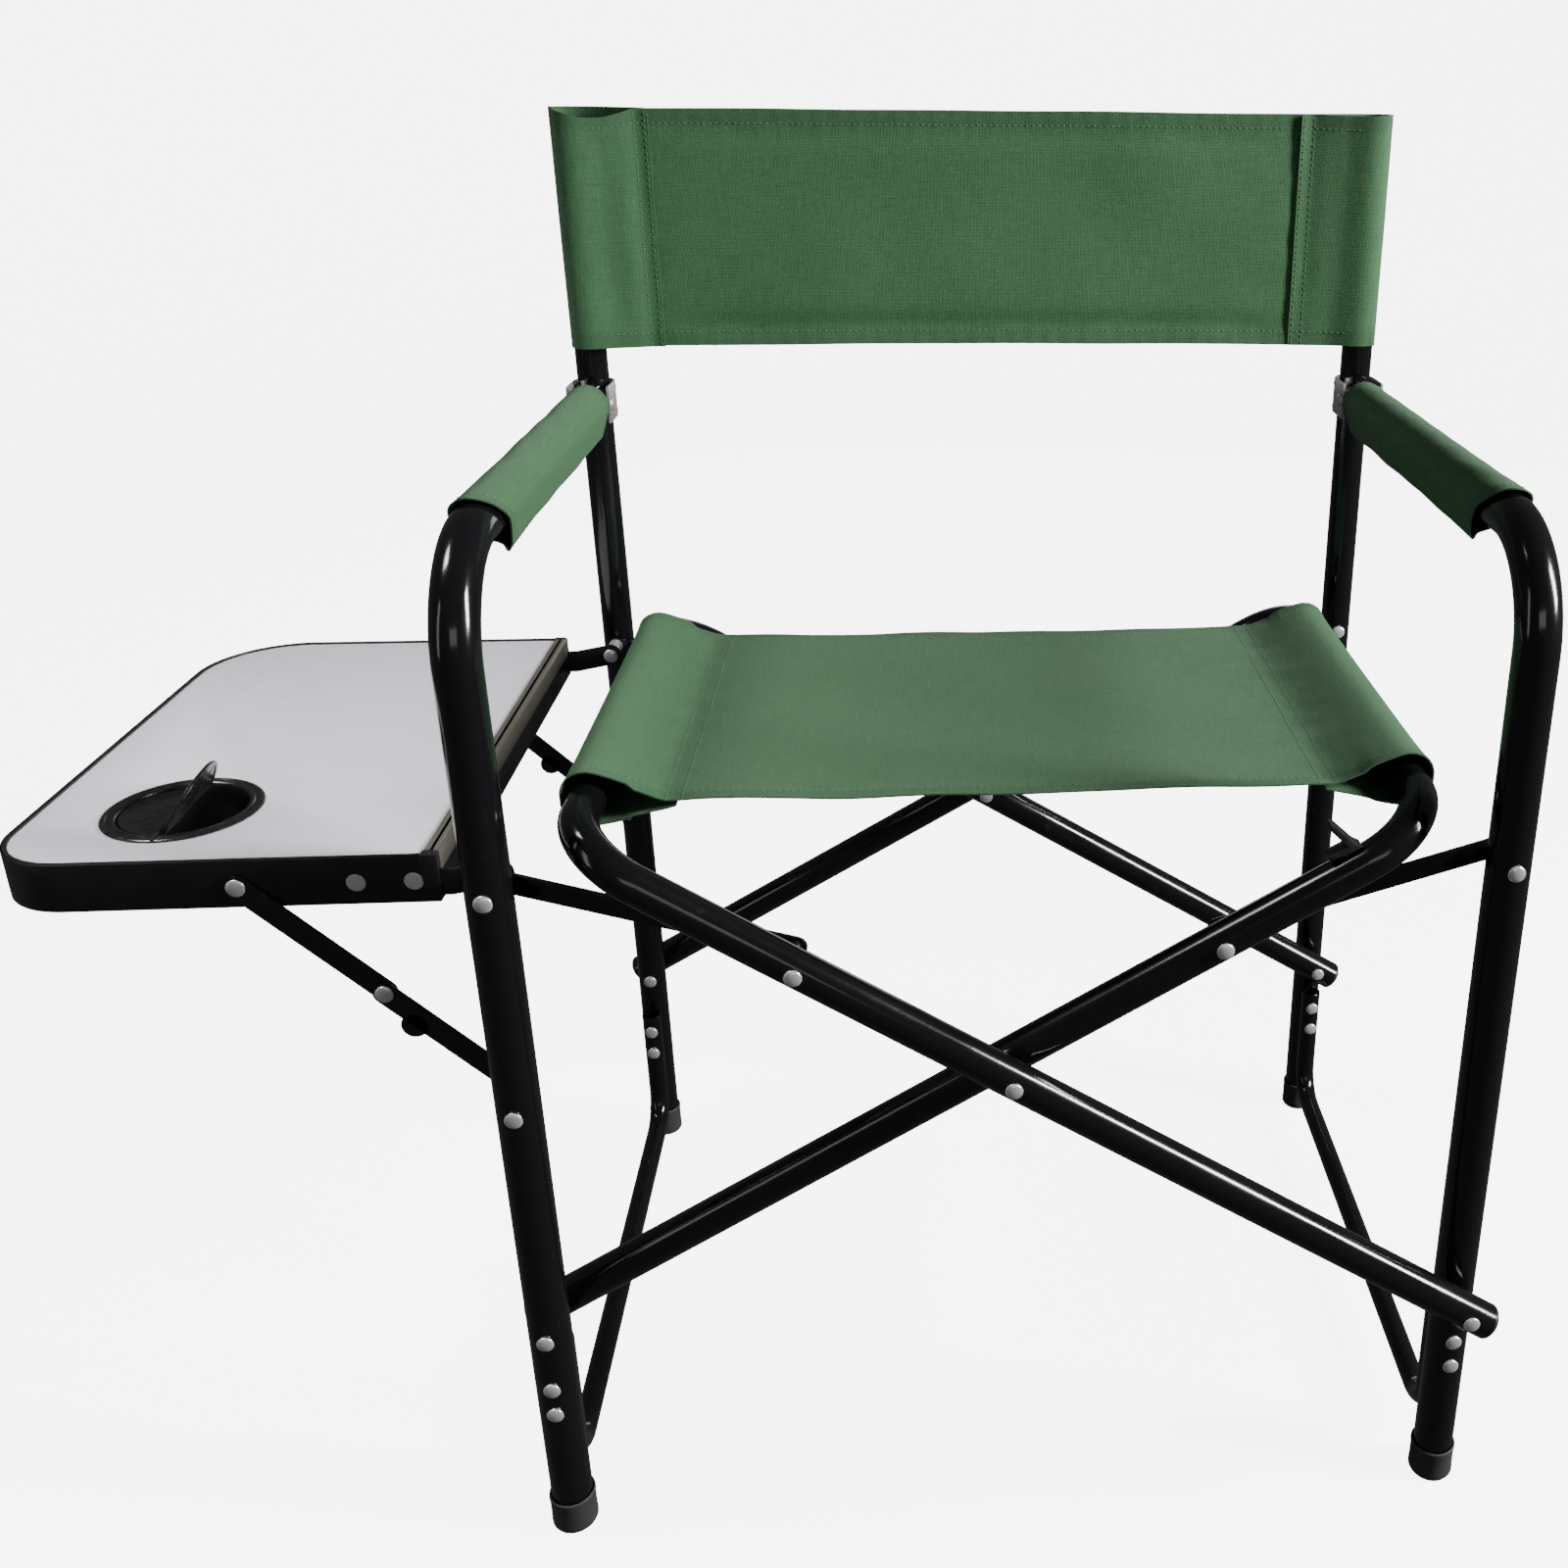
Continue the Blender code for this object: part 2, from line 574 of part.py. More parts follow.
# ---------------------------------------------------------------- transport clip
def fold_clip():
    """A small sprung clip with two prongs, on the inner side of the right seat tube."""
    seat = along_b(RAIL_LENGTH - 0.048, B_FRONT) - at(0, 0, 0)
    normal = Vector((-math.sin(REST_ANGLE), math.cos(REST_ANGLE)))
    foot = Vector((seat.x, seat.z)) + normal * (X_R + GAP)
    root = foot + normal * 0.004
    half = 0.0011
    outline = [(foot.x - 0.004, foot.y - 0.0008), (foot.x + 0.005, foot.y + 0.0045),
               (root.x + 0.003, root.y + 0.003), (root.x - 0.010, root.y + 0.0135),
               (root.x - 0.012, root.y + 0.0115), (root.x - half, root.y + half),
               (root.x - 0.011, root.y - 0.0045), (root.x - 0.010, root.y - 0.0070)]
    plate("fold_clip", [outline], 0.010, upright(seat.y), x_frame_b, BLACK_PLASTIC)


fold_clip()


# ---------------------------------------------------------------- side table
def table_outline(inset, right_inset):
    """The table's outline: square at the chair side, round at the outer corners."""
    left, right = TABLE_LEFT + inset, TABLE_RIGHT - right_inset
    front, rear = TABLE_FRONT + inset, TABLE_REAR - inset
    front_r, rear_r = 0.042 - inset, 0.060 - inset
    return ([(right, front), (right, rear)]
            + arc((left + rear_r, rear - rear_r), rear_r, 90, 180, 7)
            + arc((left + front_r, front + front_r), front_r, 180, 270, 6))


apron_z = TABLE_TOP - APRON_H / 2
frame = plate("table_frame",
              [table_outline(0, 0), table_outline(APRON_T, EDGE_RAIL)],
              APRON_H, level(apron_z), table, BLACK_PAINT)
for y in (TABLE_FRONT, TABLE_REAR):
    drill(frame, BRACE_PIN[0], BRACE_PIN[1], y - 0.006, y + 0.006)

PANEL_T = 0.006
panel_inset = APRON_T + GAP
plate("table_top",
      [table_outline(panel_inset, EDGE_RAIL + GAP),
       arc((CUP_X, CUP_Y), CUP_R + GAP, 0, 348.75, 31)],
      PANEL_T, level(TABLE_TOP - 0.0006 - PANEL_T / 2), table, TABLE_WHITE)


def table_bracket(end, y):
    """A plate under the panel that reaches out to the hinge on the leg."""
    low, high = TABLE_TOP - APRON_H + 0.003, TABLE_TOP - PANEL_T - 0.0036
    inner_x, bend_x = -0.360, -0.300
    hinge = (-HALF_WIDTH, LINK_Z)
    outline = ([(inner_x, low), (bend_x, low)] + arc(hinge, 0.008, -50, 110, 8)
               + [(bend_x, high), (inner_x, high)])
    plate("table_bracket_" + end, [outline, hole(*hinge)], BRACKET_T,
          upright(y + BRACKET_T / 2), table, BLACK_PAINT)
    bpy.ops.mesh.primitive_cube_add(size=1)
    notch = bpy.context.object
    notch.scale = (EDGE_RAIL + 0.004, BRACKET_T + 0.001, APRON_H)
    notch.location = at(TABLE_RIGHT - EDGE_RAIL / 2, y + BRACKET_T / 2,
                        TABLE_TOP - APRON_H / 2 - 0.0055)
    subtract(frame, notch)


table_bracket("front", BRACKET_FRONT)
table_bracket("rear", BRACKET_REAR)

# cup ring: a flange on the panel and a short skirt through it
turned("cup_ring",
       [(0.0336, -0.030), (0.0336, 0.0), (0.0345, 0.0012), (CUP_FLANGE - 0.001, 0.0012),
        (CUP_FLANGE, GAP), (CUP_R - GAP, GAP), (CUP_R - GAP, -0.030), (0.0336, -0.030)],
       Matrix.Translation(at(CUP_X, CUP_Y, TABLE_TOP - 0.0006)), table, BLACK_PLASTIC, 32)


def cup_flap(side, opened, body):
    """A half-disc flap hinged on the cup opening's middle line."""
    sign = -1 if side == "left" else 1
    radius = 0.0312
    outline = [(sign * px, py) for px, py in arc((0, 0), radius, -90, 90, 14)]
    if sign < 0:
        outline.reverse()
    hinge = Matrix.Translation(body_place[body.name] + Vector((0, CUP_Y, 0)))
    swing = Matrix.Rotation(-opened * sign, 4, "Y")
    step_out = Matrix.Translation((sign * 0.0005, 0, 0))
    plate("cup_flap_" + side, [outline], 0.0016, hinge @ swing @ step_out, body,
          BLACK_PLASTIC)


cup_flap("left", 0, flap_left)
cup_flap("right", FLAP_OPEN, flap_right)


# ---------------------------------------------------------------- table braces
def brace_pair(end, outward, leg_y, tube_r, apron_y):
    """Two flat bars with a knee between them, in planes between a leg and the apron.

    outward is -1 at the front and +1 at the rear; apron_y is the apron's outer face.
    """
    def out(distance):
        return apron_y + outward * distance

    upper_in = GAP
    upper_out = upper_in + BRACE_T
    lower_in = upper_out + GAP
    lower_out = lower_in + BRACE_T
    plate("upper_brace_" + end,
          [bar_outline(BRACE_PIN, KNEE, BRACE_W), hole(*BRACE_PIN), hole(*KNEE)],
          BRACE_T, upright(out((upper_in + upper_out) / 2)), upper_braces, BLACK_PAINT)
    lower_y = out((lower_in + lower_out) / 2)
    lower = plate("lower_brace_" + end,
                  [bar_outline(BRACE_FOOT, KNEE, BRACE_W), hole(*BRACE_FOOT), hole(*KNEE)],
                  BRACE_T, upright(lower_y), lower_braces, BLACK_PAINT)
    finger_tab(lower, lower_y)
    # the apron's rivet: one head on the upper bar, the other inside the apron
    rivet_between(f"brace_pin_{end}", BRACE_PIN, out(upper_out + GAP),
                  out(-APRON_T - GAP), table, (), True, True)
    # the knee's rivet: its head on the lower bar, its end short of the upper bar
    rivet_between(f"knee_pin_{end}", KNEE, out(lower_out + 0.0002), out(lower_in),
                  lower_braces, (), True, False)
    # the leg's rivet: its head on the leg, a sleeve up to the lower bar, its end flush
    leg_inner = leg_y - outward * (tube_r + GAP)
    rivet_between(f"brace_pivot_{end}", BRACE_FOOT, leg_y + outward * (tube_r + GAP),
                  out(lower_in), left_frame,
                  [tuple(sorted((leg_inner, out(lower_out + GAP))))], True, False)


def rivet_between(name, place, y_head, y_tail, body, spacers, head, tail):
    """A rivet whose head may be at either end of its y range."""
    low, high = sorted((y_head, y_tail))
    flipped = y_head > y_tail
    rivet(name, place[0], place[1], low, high, body, spacers,
          head=tail if flipped else head, tail=head if flipped else tail,
          head_h=BRACE_HEAD_H)


def finger_tab(lower, y):
    """A round tab under the knee, to push the brace open."""
    bar = Vector((KNEE[0] - BRACE_FOOT[0], KNEE[1] - BRACE_FOOT[1])).normalized()
    outer = Vector((-bar.y, bar.x))
    centre = Vector(KNEE) - bar * 0.024 + outer * 0.0055
    bpy.ops.mesh.primitive_cylinder_add(vertices=16, radius=0.0075, depth=BRACE_T * 0.98)
    tab = bpy.context.object
    tab.location = at(centre.x, y, centre.y)
    tab.rotation_euler = (math.pi / 2, 0, 0)
    subtract(lower, tab)
    lower.modifiers[-1].operation = "UNION"


brace_pair("front", -1, 0, LEG_R, TABLE_FRONT)
brace_pair("rear", 1, DEPTH, POST_R, TABLE_REAR)
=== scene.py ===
"""The looks of the folding director chair with its side table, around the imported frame.

Places are given in the chair's own frame: x from the middle plane, y from the front legs'
plane (positive to the rear) and z from the floor. `at` turns them into world coordinates.
"""
import json
import math

import bmesh
import bpy
from mathutils import Matrix, Vector, noise


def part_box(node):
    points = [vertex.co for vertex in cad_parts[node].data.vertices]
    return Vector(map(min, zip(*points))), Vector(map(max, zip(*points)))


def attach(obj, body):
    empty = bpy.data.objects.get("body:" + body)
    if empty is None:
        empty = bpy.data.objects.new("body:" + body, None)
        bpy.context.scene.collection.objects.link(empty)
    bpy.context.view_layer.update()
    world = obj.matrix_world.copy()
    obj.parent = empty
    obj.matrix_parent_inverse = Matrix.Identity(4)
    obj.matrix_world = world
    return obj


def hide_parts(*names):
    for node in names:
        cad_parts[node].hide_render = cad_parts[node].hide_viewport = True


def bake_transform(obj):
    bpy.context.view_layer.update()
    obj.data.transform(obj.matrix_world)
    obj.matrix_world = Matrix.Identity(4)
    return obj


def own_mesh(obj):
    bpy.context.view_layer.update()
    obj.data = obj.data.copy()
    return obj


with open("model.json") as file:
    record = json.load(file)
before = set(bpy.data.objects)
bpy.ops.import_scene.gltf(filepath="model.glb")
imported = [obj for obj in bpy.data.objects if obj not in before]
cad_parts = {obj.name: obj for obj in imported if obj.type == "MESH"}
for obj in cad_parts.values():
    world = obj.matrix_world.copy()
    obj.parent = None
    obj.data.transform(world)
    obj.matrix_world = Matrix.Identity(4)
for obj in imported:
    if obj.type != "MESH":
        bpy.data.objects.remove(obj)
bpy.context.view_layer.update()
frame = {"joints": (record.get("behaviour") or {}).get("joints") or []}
HINGE = {joint["name"]: Vector(joint["pos_m"]) for joint in frame["joints"]}
RANGE = {joint["name"]: joint["range_deg"] for joint in frame["joints"] if "range_deg" in joint}

# ---- places from the frame
MID_X = HINGE["cross_pivot"].x
FRONT_Y = HINGE["fold"].y
HALF_WIDTH = MID_X - HINGE["fold"].x
PIVOT_Z = HINGE["fold"].z
CROSS_Z = HINGE["cross_pivot"].z
LINK_Z = HINGE["left_link_pivot"].z
BRACE_PIN, BRACE_FOOT = ((HINGE[joint].x - MID_X, HINGE[joint].z)
                         for joint in ("upper_brace_pivot", "lower_brace_pivot"))
KNEE = ((BRACE_PIN[0] + BRACE_FOOT[0]) / 2, (BRACE_PIN[1] + BRACE_FOOT[1]) / 2)


def chair_y(node, end):
    """A CAD node's lowest (0) or highest (1) y in the chair's frame."""
    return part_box(node)[end].y - FRONT_Y


def chair_x(node, end):
    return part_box(node)[end].x - MID_X


def node_z(node, end):
    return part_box(node)[end].z


LEG_R, POST_R, BAR_R = ((chair_x(node, 1) - chair_x(node, 0)) / 2
                        for node in ("front_leg_left", "back_post_left", "floor_bar_left"))
X_R = POST_R
DEPTH = chair_y("back_post_left", 0) + POST_R
ARM_Z = node_z("front_leg_left", 1) - LEG_R
ARM_END = chair_y("front_leg_left", 1)
ARM_BEND = 0.060
FOOT_FLOOR = node_z("front_leg_left", 0)
POST_TOP = node_z("back_post_left", 1)
BAR_Z = node_z("floor_bar_left", 0) + BAR_R
BAR_TOP = node_z("floor_bar_left", 1)
BAR_BEND = 0.025
RAIL_BEND = 0.042
TUBE_TAIL = 0.015
GAP = 0.0003
HEAD_R, HEAD_H = 0.0051, 0.0022
BRACE_HEAD_H = 0.0016
FLUSH_HEAD_H = 0.00022
SHAFT_R, SPACER_R = 0.0024, 0.005

ARM_LENGTH = math.hypot(HALF_WIDTH, CROSS_Z - PIVOT_Z)
REST_ANGLE = math.atan2(CROSS_Z - PIVOT_Z, HALF_WIDTH)
RAIL_X = 0.233
RAIL_LENGTH = RAIL_X / math.cos(REST_ANGLE)
RAIL_Z = CROSS_Z + RAIL_LENGTH * math.sin(REST_ANGLE)
A_FRONT, A_REAR = (-0.0240, -0.0118), (DEPTH - 0.0235, DEPTH - 0.0260)
B_FRONT, B_REAR = (0.0240, 0.0118), (DEPTH + 0.0235, DEPTH - 0.0024)

TABLE_LEFT, TABLE_RIGHT = chair_x("table_frame", 0), chair_x("table_frame", 1)
TABLE_FRONT, TABLE_REAR = chair_y("table_frame", 0), chair_y("table_frame", 1)
TABLE_TOP, TABLE_LOW = node_z("table_frame", 1), node_z("table_frame", 0)
APRON_T, EDGE_RAIL, RIM = 0.0016, 0.008, 0.0032
FLAP_R = 0.0312
FLAP_OPEN = math.radians(-RANGE["flap_right_hinge"][0])     # the right flap stands open
LINK_W = 0.012
CUP_X = (chair_x("cup_ring", 0) + chair_x("cup_ring", 1)) / 2
CUP_Y = (chair_y("cup_ring", 0) + chair_y("cup_ring", 1)) / 2
CUP_BORE = 0.0336

SEAT_FRONT, SEAT_REAR = chair_y("seat_sling", 0), chair_y("seat_sling", 1) + 0.002
BACK_LOW, BACK_HIGH = node_z("back_sling", 0), node_z("back_sling", 1)
CLOTH_T = 0.0009
HEM = 0.0095


def at(x, y, z):
    return Vector((MID_X + x, FRONT_Y + y, z))


# ---- materials
class Shader:
    """A small builder for one Principled material."""

    def __init__(self, name, colour, roughness, metallic=0.0, **sockets):
        self.material = bpy.data.materials.new(name)
        self.material.use_nodes = True
        self.tree = self.material.node_tree
        self.bsdf = self.tree.nodes["Principled BSDF"]
        self.bsdf.inputs["Base Color"].default_value = (*colour, 1)
        self.bsdf.inputs["Roughness"].default_value = roughness
        self.bsdf.inputs["Metallic"].default_value = metallic
        for socket, value in sockets.items():
            self.bsdf.inputs[socket.replace("_", " ")].default_value = value

    def node(self, kind, **settings):
        made = self.tree.nodes.new(kind)
        for key, value in settings.items():
            if key in made.inputs:
                made.inputs[key].default_value = value
            else:
                setattr(made, key, value)
        return made

    def link(self, source, target):
        self.tree.links.new(source, target)

    def place(self, output="Object"):
        return self.node("ShaderNodeTexCoord").outputs[output]

    def noise(self, scale, detail=3.0, stretch=None, space="Object"):
        texture = self.node("ShaderNodeTexNoise", Scale=scale, Detail=detail)
        source = self.place(space)
        if stretch:
            mapping = self.node("ShaderNodeMapping")
            mapping.inputs["Scale"].default_value = stretch
            self.link(source, mapping.inputs["Vector"])
            source = mapping.outputs["Vector"]
        self.link(source, texture.inputs["Vector"])
        return texture.outputs["Fac"]

    def math(self, operation, first, second=0.0):
        made = self.node("ShaderNodeMath", operation=operation)
        for slot_index, value in enumerate((first, second)):
            if isinstance(value, (int, float)):
                made.inputs[slot_index].default_value = value
            else:
                self.link(value, made.inputs[slot_index])
        return made.outputs[0]

    def spread(self, value, low, high, to_low, to_high):
        made = self.node("ShaderNodeMapRange")
        self.link(value, made.inputs["Value"])
        for name, number in (("From Min", low), ("From Max", high),
                             ("To Min", to_low), ("To Max", to_high)):
            made.inputs[name].default_value = number
        return made.outputs["Result"]

    def mix(self, factor, first, second):
        """Mix two colours, each a tuple or an output."""
        made = self.node("ShaderNodeMix", data_type="RGBA")
        self.link(factor, made.inputs[0])
        for slot_index, value in ((6, first), (7, second)):
            if isinstance(value, tuple):
                made.inputs[slot_index].default_value = (*value, 1)
            else:
                self.link(value, made.inputs[slot_index])
        return made.outputs[2]

    def bump(self, height, strength, distance):
        made = self.node("ShaderNodeBump", Strength=strength, Distance=distance)
        self.link(height, made.inputs["Height"])
        self.link(made.outputs["Normal"], self.bsdf.inputs["Normal"])

    def set(self, socket, value):
        self.link(value, self.bsdf.inputs[socket])

    def roughness(self, pattern, low, high):
        self.set("Roughness", self.spread(pattern, 0.3, 0.7, low, high))


def gloss_black_paint():
    paint = Shader("gloss_black_paint", (0.005, 0.005, 0.006), 0.2,
                   Coat_Weight=0.25, Coat_Roughness=0.06)
    cloud = paint.noise(28.0, 4.0)
    scuffs = paint.spread(paint.noise(160.0, 6.0, (1, 1, 0.25)), 0.66, 0.74, 0.0, 0.5)
    paint.roughness(cloud, 0.11, 0.19)
    paint.set("Base Color", paint.mix(scuffs, (0.005, 0.005, 0.006), (0.020, 0.019, 0.018)))
    paint.bump(paint.noise(420.0, 2.0), 0.05, 0.0004)
    return paint.material


def satin_black_steel():
    steel = Shader("satin_black_steel", (0.007, 0.007, 0.008), 0.4)
    steel.roughness(steel.noise(45.0, 4.0), 0.30, 0.46)
    steel.bump(steel.noise(700.0, 3.0), 0.08, 0.0003)
    return steel.material


def rivet_metal():
    metal = Shader("rivet_metal", (0.80, 0.80, 0.83), 0.30, 0.6)
    metal.roughness(metal.noise(300.0, 4.0), 0.20, 0.38)
    metal.bump(metal.noise(900.0, 2.0), 0.12, 0.0003)
    return metal.material


def zinc_plate():
    zinc = Shader("zinc_plate", (0.60, 0.59, 0.56), 0.38, 0.7)
    streaks = zinc.noise(120.0, 5.0, (1, 1, 6))
    zinc.roughness(streaks, 0.25, 0.48)
    zinc.set("Base Color", zinc.mix(streaks, (0.50, 0.49, 0.46), (0.66, 0.65, 0.63)))
    zinc.bump(streaks, 0.10, 0.0003)
    return zinc.material


def rubber():
    foot = Shader("foot_rubber_dark", (0.028, 0.029, 0.031), 0.7)
    grain = foot.noise(520.0, 5.0)
    foot.set("Base Color", foot.mix(foot.noise(60.0, 4.0), (0.020, 0.021, 0.023),
                                    (0.045, 0.046, 0.049)))
    foot.bump(grain, 0.35, 0.0004)
    return foot.material


def moulded_plastic(name, roughness, low, high):
    plastic = Shader(name, low, roughness)
    plastic.set("Base Color", plastic.mix(plastic.noise(70.0, 3.0), low, high))
    plastic.roughness(plastic.noise(210.0, 4.0), roughness - 0.07, roughness + 0.09)
    plastic.bump(plastic.noise(1300.0, 2.0), 0.16, 0.0003)
    return plastic.material


def white_laminate():
    panel = Shader("white_laminate", (0.70, 0.68, 0.76), 0.34, Coat_Weight=0.15, Coat_Roughness=0.25)
    cloud = panel.noise(7.0, 3.0)
    fleck = panel.noise(900.0, 4.0)
    tone = panel.mix(cloud, (0.760, 0.740, 0.815), (0.810, 0.790, 0.860))
    fleck_share = panel.spread(fleck, 0.55, 0.8, 0.0, 0.35)
    panel.set("Base Color", panel.mix(fleck_share, tone, (0.60, 0.58, 0.66)))
    panel.roughness(panel.noise(90.0, 5.0), 0.30, 0.42)
    panel.bump(fleck, 0.10, 0.0002)
    return panel.material


def edge_metal():
    rail = Shader("edge_rail_bronze", (0.14, 0.13, 0.10), 0.45, 0.25)
    streaks = rail.noise(90.0, 5.0, (14, 0.5, 14))
    rail.set("Base Color", rail.mix(streaks, (0.090, 0.084, 0.066), (0.170, 0.160, 0.130)))
    rail.roughness(streaks, 0.34, 0.52)
    rail.bump(streaks, 0.12, 0.0003)
    return rail.material


THREAD = 0.00095        # from one thread of the weave to the next


def woven_green():
    """Coarse plain weave; its threads follow the cloth's own width and length."""
    cloth = Shader("woven_green", (0.036, 0.126, 0.044), 0.8, Sheen_Weight=0.08, Sheen_Roughness=0.5)
    separate = cloth.node("ShaderNodeSeparateXYZ")
    cloth.link(cloth.place("UV"), separate.inputs[0])
    slub_lines = [cloth.noise(1.0, 2.0, stretch, "UV") for stretch in ((45, 1100, 1), (1100, 45, 1))]
    wobble = cloth.spread(cloth.noise(35.0, 2.0), 0.0, 1.0, -0.9, 0.9)

    def threads(axis):
        turns = cloth.math("MULTIPLY", separate.outputs[axis], math.pi / THREAD)
        return cloth.math("SINE", cloth.math("ADD", turns, wobble))

    across, along = threads(0), threads(1)
    over = cloth.math("MULTIPLY", across, along)
    side = cloth.spread(over, -0.25, 0.25, 0.0, 1.0)
    warp = cloth.math("MULTIPLY", cloth.math("ABSOLUTE", along), side)
    weft = cloth.math("MULTIPLY", cloth.math("ABSOLUTE", across), cloth.math("SUBTRACT", 1.0, side))
    height = cloth.math("ADD", warp, weft)

    patches = cloth.noise(9.0, 2.0)
    slubs = cloth.math("MULTIPLY", cloth.math("ADD", *slub_lines), 0.5)
    base = cloth.mix(patches, (0.031, 0.112, 0.039), (0.042, 0.138, 0.050))
    lit = cloth.mix(cloth.spread(slubs, 0.42, 0.62, 0.0, 0.55), base, (0.066, 0.182, 0.076))
    doubled = cloth.node("ShaderNodeAttribute", attribute_name="doubled")
    # painted shade: the cloth's colour is darkened where it is doubled, at the hems and the seam laps
    doubled_shade = cloth.mix(cloth.math("MULTIPLY", doubled.outputs["Fac"], 0.55), lit, (0.030, 0.098, 0.038))
    # painted shade: the low grooves between the weave's threads are darkened in the base colour
    groove = cloth.spread(height, 0.0, 0.75, 0.55, 0.0)
    cloth.set("Base Color", cloth.mix(groove, doubled_shade, (0.016, 0.060, 0.020)))
    cloth.set("Roughness", cloth.spread(height, 0.0, 1.0, 0.92, 0.70))
    cloth.bump(height, 0.45, 0.0004)
    return cloth.material


def thread_green():
    thread = Shader("thread_green", (0.075, 0.190, 0.088), 0.6, Sheen_Weight=0.1, Sheen_Roughness=0.4)
    thread.bump(thread.noise(1500.0, 2.0), 0.3, 0.0002)
    return thread.material


# each finish is a material with the name of a colour slot
PAINT = (gloss_black_paint(), "black_paint")
BLACK_STEEL = (satin_black_steel(), "black_paint")
RIVET = (rivet_metal(), "rivet_steel")
ZINC = (zinc_plate(), "zinc")
RUBBER = (rubber(), "foot_rubber")
PLASTIC = (moulded_plastic("black_plastic_satin", 0.42, (0.011, 0.011, 0.012),
                           (0.020, 0.020, 0.021)), "black_plastic")
CUP_PLASTIC = (moulded_plastic("cup_plastic_gloss", 0.24, (0.009, 0.009, 0.010),
                               (0.014, 0.014, 0.015)), "black_plastic")
LAMINATE = (white_laminate(), "table_laminate")
EDGE_METAL = (edge_metal(), "black_paint")
CLOTH = (woven_green(), "green_fabric")
STITCH = (thread_green(), "green_fabric")


# ---- shapes
def in_scene(name, data):
    made = bpy.data.objects.new(name, data)
    bpy.context.scene.collection.objects.link(made)
    return made


def piece(name, mesh, body, finish, nodes=(), angle=35):
    """Show a mesh, in world coordinates, as a piece that rides on a body.

    finish is a (material, slot) pair, of which the slot is not used, and nodes are the CAD nodes that the
    piece replaces.
    """
    material, slot = finish
    made = in_scene(name, mesh)
    mesh.name = name
    mesh.materials.clear()
    mesh.materials.append(material)
    mesh.shade_smooth()
    mesh.set_sharp_from_angle(angle=math.radians(angle))
    if body:
        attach(made, body)
    if nodes:
        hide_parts(*nodes)
    return made


def mesh_of(work):
    mesh = bpy.data.meshes.new("shape")
    work.to_mesh(mesh)
    work.free()
    return mesh


def finished_mesh(work):
    bmesh.ops.recalc_face_normals(work, faces=work.faces)
    return mesh_of(work)


def baked(holder):
    """A curve's or modified object's evaluated mesh; the object is removed."""
    bpy.context.view_layer.update()
    graph = bpy.context.evaluated_depsgraph_get()
    mesh = bpy.data.meshes.new_from_object(holder.evaluated_get(graph))
    matrix = holder.matrix_world.copy()
    bpy.data.objects.remove(holder, do_unlink=True)
    mesh.transform(matrix)
    return mesh


def rounded_path(corners, radius, steps=18):
    """A polyline whose inner corners are turned into arcs of the given radius."""
    path = [corners[0]]
    for before, corner, after in zip(corners, corners[1:], corners[2:]):
        back = (before - corner).normalized()
        ahead = (after - corner).normalized()
        half = back.angle(ahead) / 2
        reach = radius / math.tan(half)
        centre = corner + (back + ahead).normalized() * radius / math.sin(half)
        start = corner + back * reach - centre
        end = corner + ahead * reach - centre
        sweep = start.angle(end)
        for step in range(steps + 1):
            share = step / steps
            path.append(centre + (start * math.sin((1 - share) * sweep)
                                  + end * math.sin(share * sweep)) / math.sin(sweep))
    path.append(corners[-1])
    return path


def bridge(work, rings):
    """Faces from each ring of vertices to the next; a ring may be one vertex repeated."""
    for low, high in zip(rings, rings[1:]):
        for i in range(len(low)):
            j = (i + 1) % len(low)
            corners = list(dict.fromkeys((low[i], low[j], high[j], high[i])))
            if len(corners) > 2:
                work.faces.new(corners)


def tube_mesh(path, radius, sides=36, wall=0.0012, depth=0.02):
    """A tube along a path, with open ends that show its wall and the start of its bore."""
    tangents = [(b - a).normalized() for a, b in zip(path, path[1:])]
    tangents = [tangents[0]] + [(a + b).normalized() for a, b in
                                zip(tangents, tangents[1:])] + [tangents[-1]]
    side = tangents[0].orthogonal().normalized()
    work = bmesh.new()

    def ring(centre, tangent, across, r):
        up = tangent.cross(across)
        return [work.verts.new(centre + (across * math.cos(t) + up * math.sin(t)) * r)
                for t in (math.tau * i / sides for i in range(sides))]

    outer, sides_at = [], []
    for centre, tangent in zip(path, tangents):
        side = (side - tangent * side.dot(tangent)).normalized()
        sides_at.append(side)
        outer.append(ring(centre, tangent, side, radius))
    mouths = []
    for end, inward in ((0, 1), (-1, -1)):
        bevel = radius * 0.05
        tangent, centre, across = tangents[end] * inward, path[end], sides_at[end]
        lip = ring(centre, tangents[end], across, radius - wall)
        deep = ring(centre + tangent * depth, tangents[end], across, radius - wall)
        shoulder = ring(centre + tangent * bevel, tangents[end], across, radius)
        for vert in outer[end]:
            vert.co = centre + (vert.co - centre) * (1 - bevel / radius)
        mouths.append([deep, lip, outer[end], shoulder])
    rings = mouths[0] + outer[1:-1] + mouths[1][::-1]
    bridge(work, rings)
    work.faces.new(list(reversed(rings[0])))
    work.faces.new(rings[-1])
    return finished_mesh(work)


def lathe_mesh(profile, matrix, steps=32):
    """A turned shape; the profile's points are (radius, height), and it may be a loop."""
    looped = profile[0] == profile[-1]
    points = profile[:-1] if looped else profile
    work = bmesh.new()
    rings = []
    for radius, height in points:
        if radius < 1e-7:
            rings.append([work.verts.new((0, 0, height))] * steps)
        else:
            rings.append([work.verts.new((radius * math.cos(math.tau * i / steps),
                                          radius * math.sin(math.tau * i / steps), height))
                          for i in range(steps)])
    bridge(work, rings + rings[:1] if looped else rings)
    mesh = finished_mesh(work)
    mesh.transform(matrix)
    return mesh


def arc(centre, radius, start, end, steps=16):
    angles = [math.radians(start + (end - start) * i / steps) for i in range(steps + 1)]
    return [(centre[0] + radius * math.cos(a), centre[1] + radius * math.sin(a)) for a in angles]


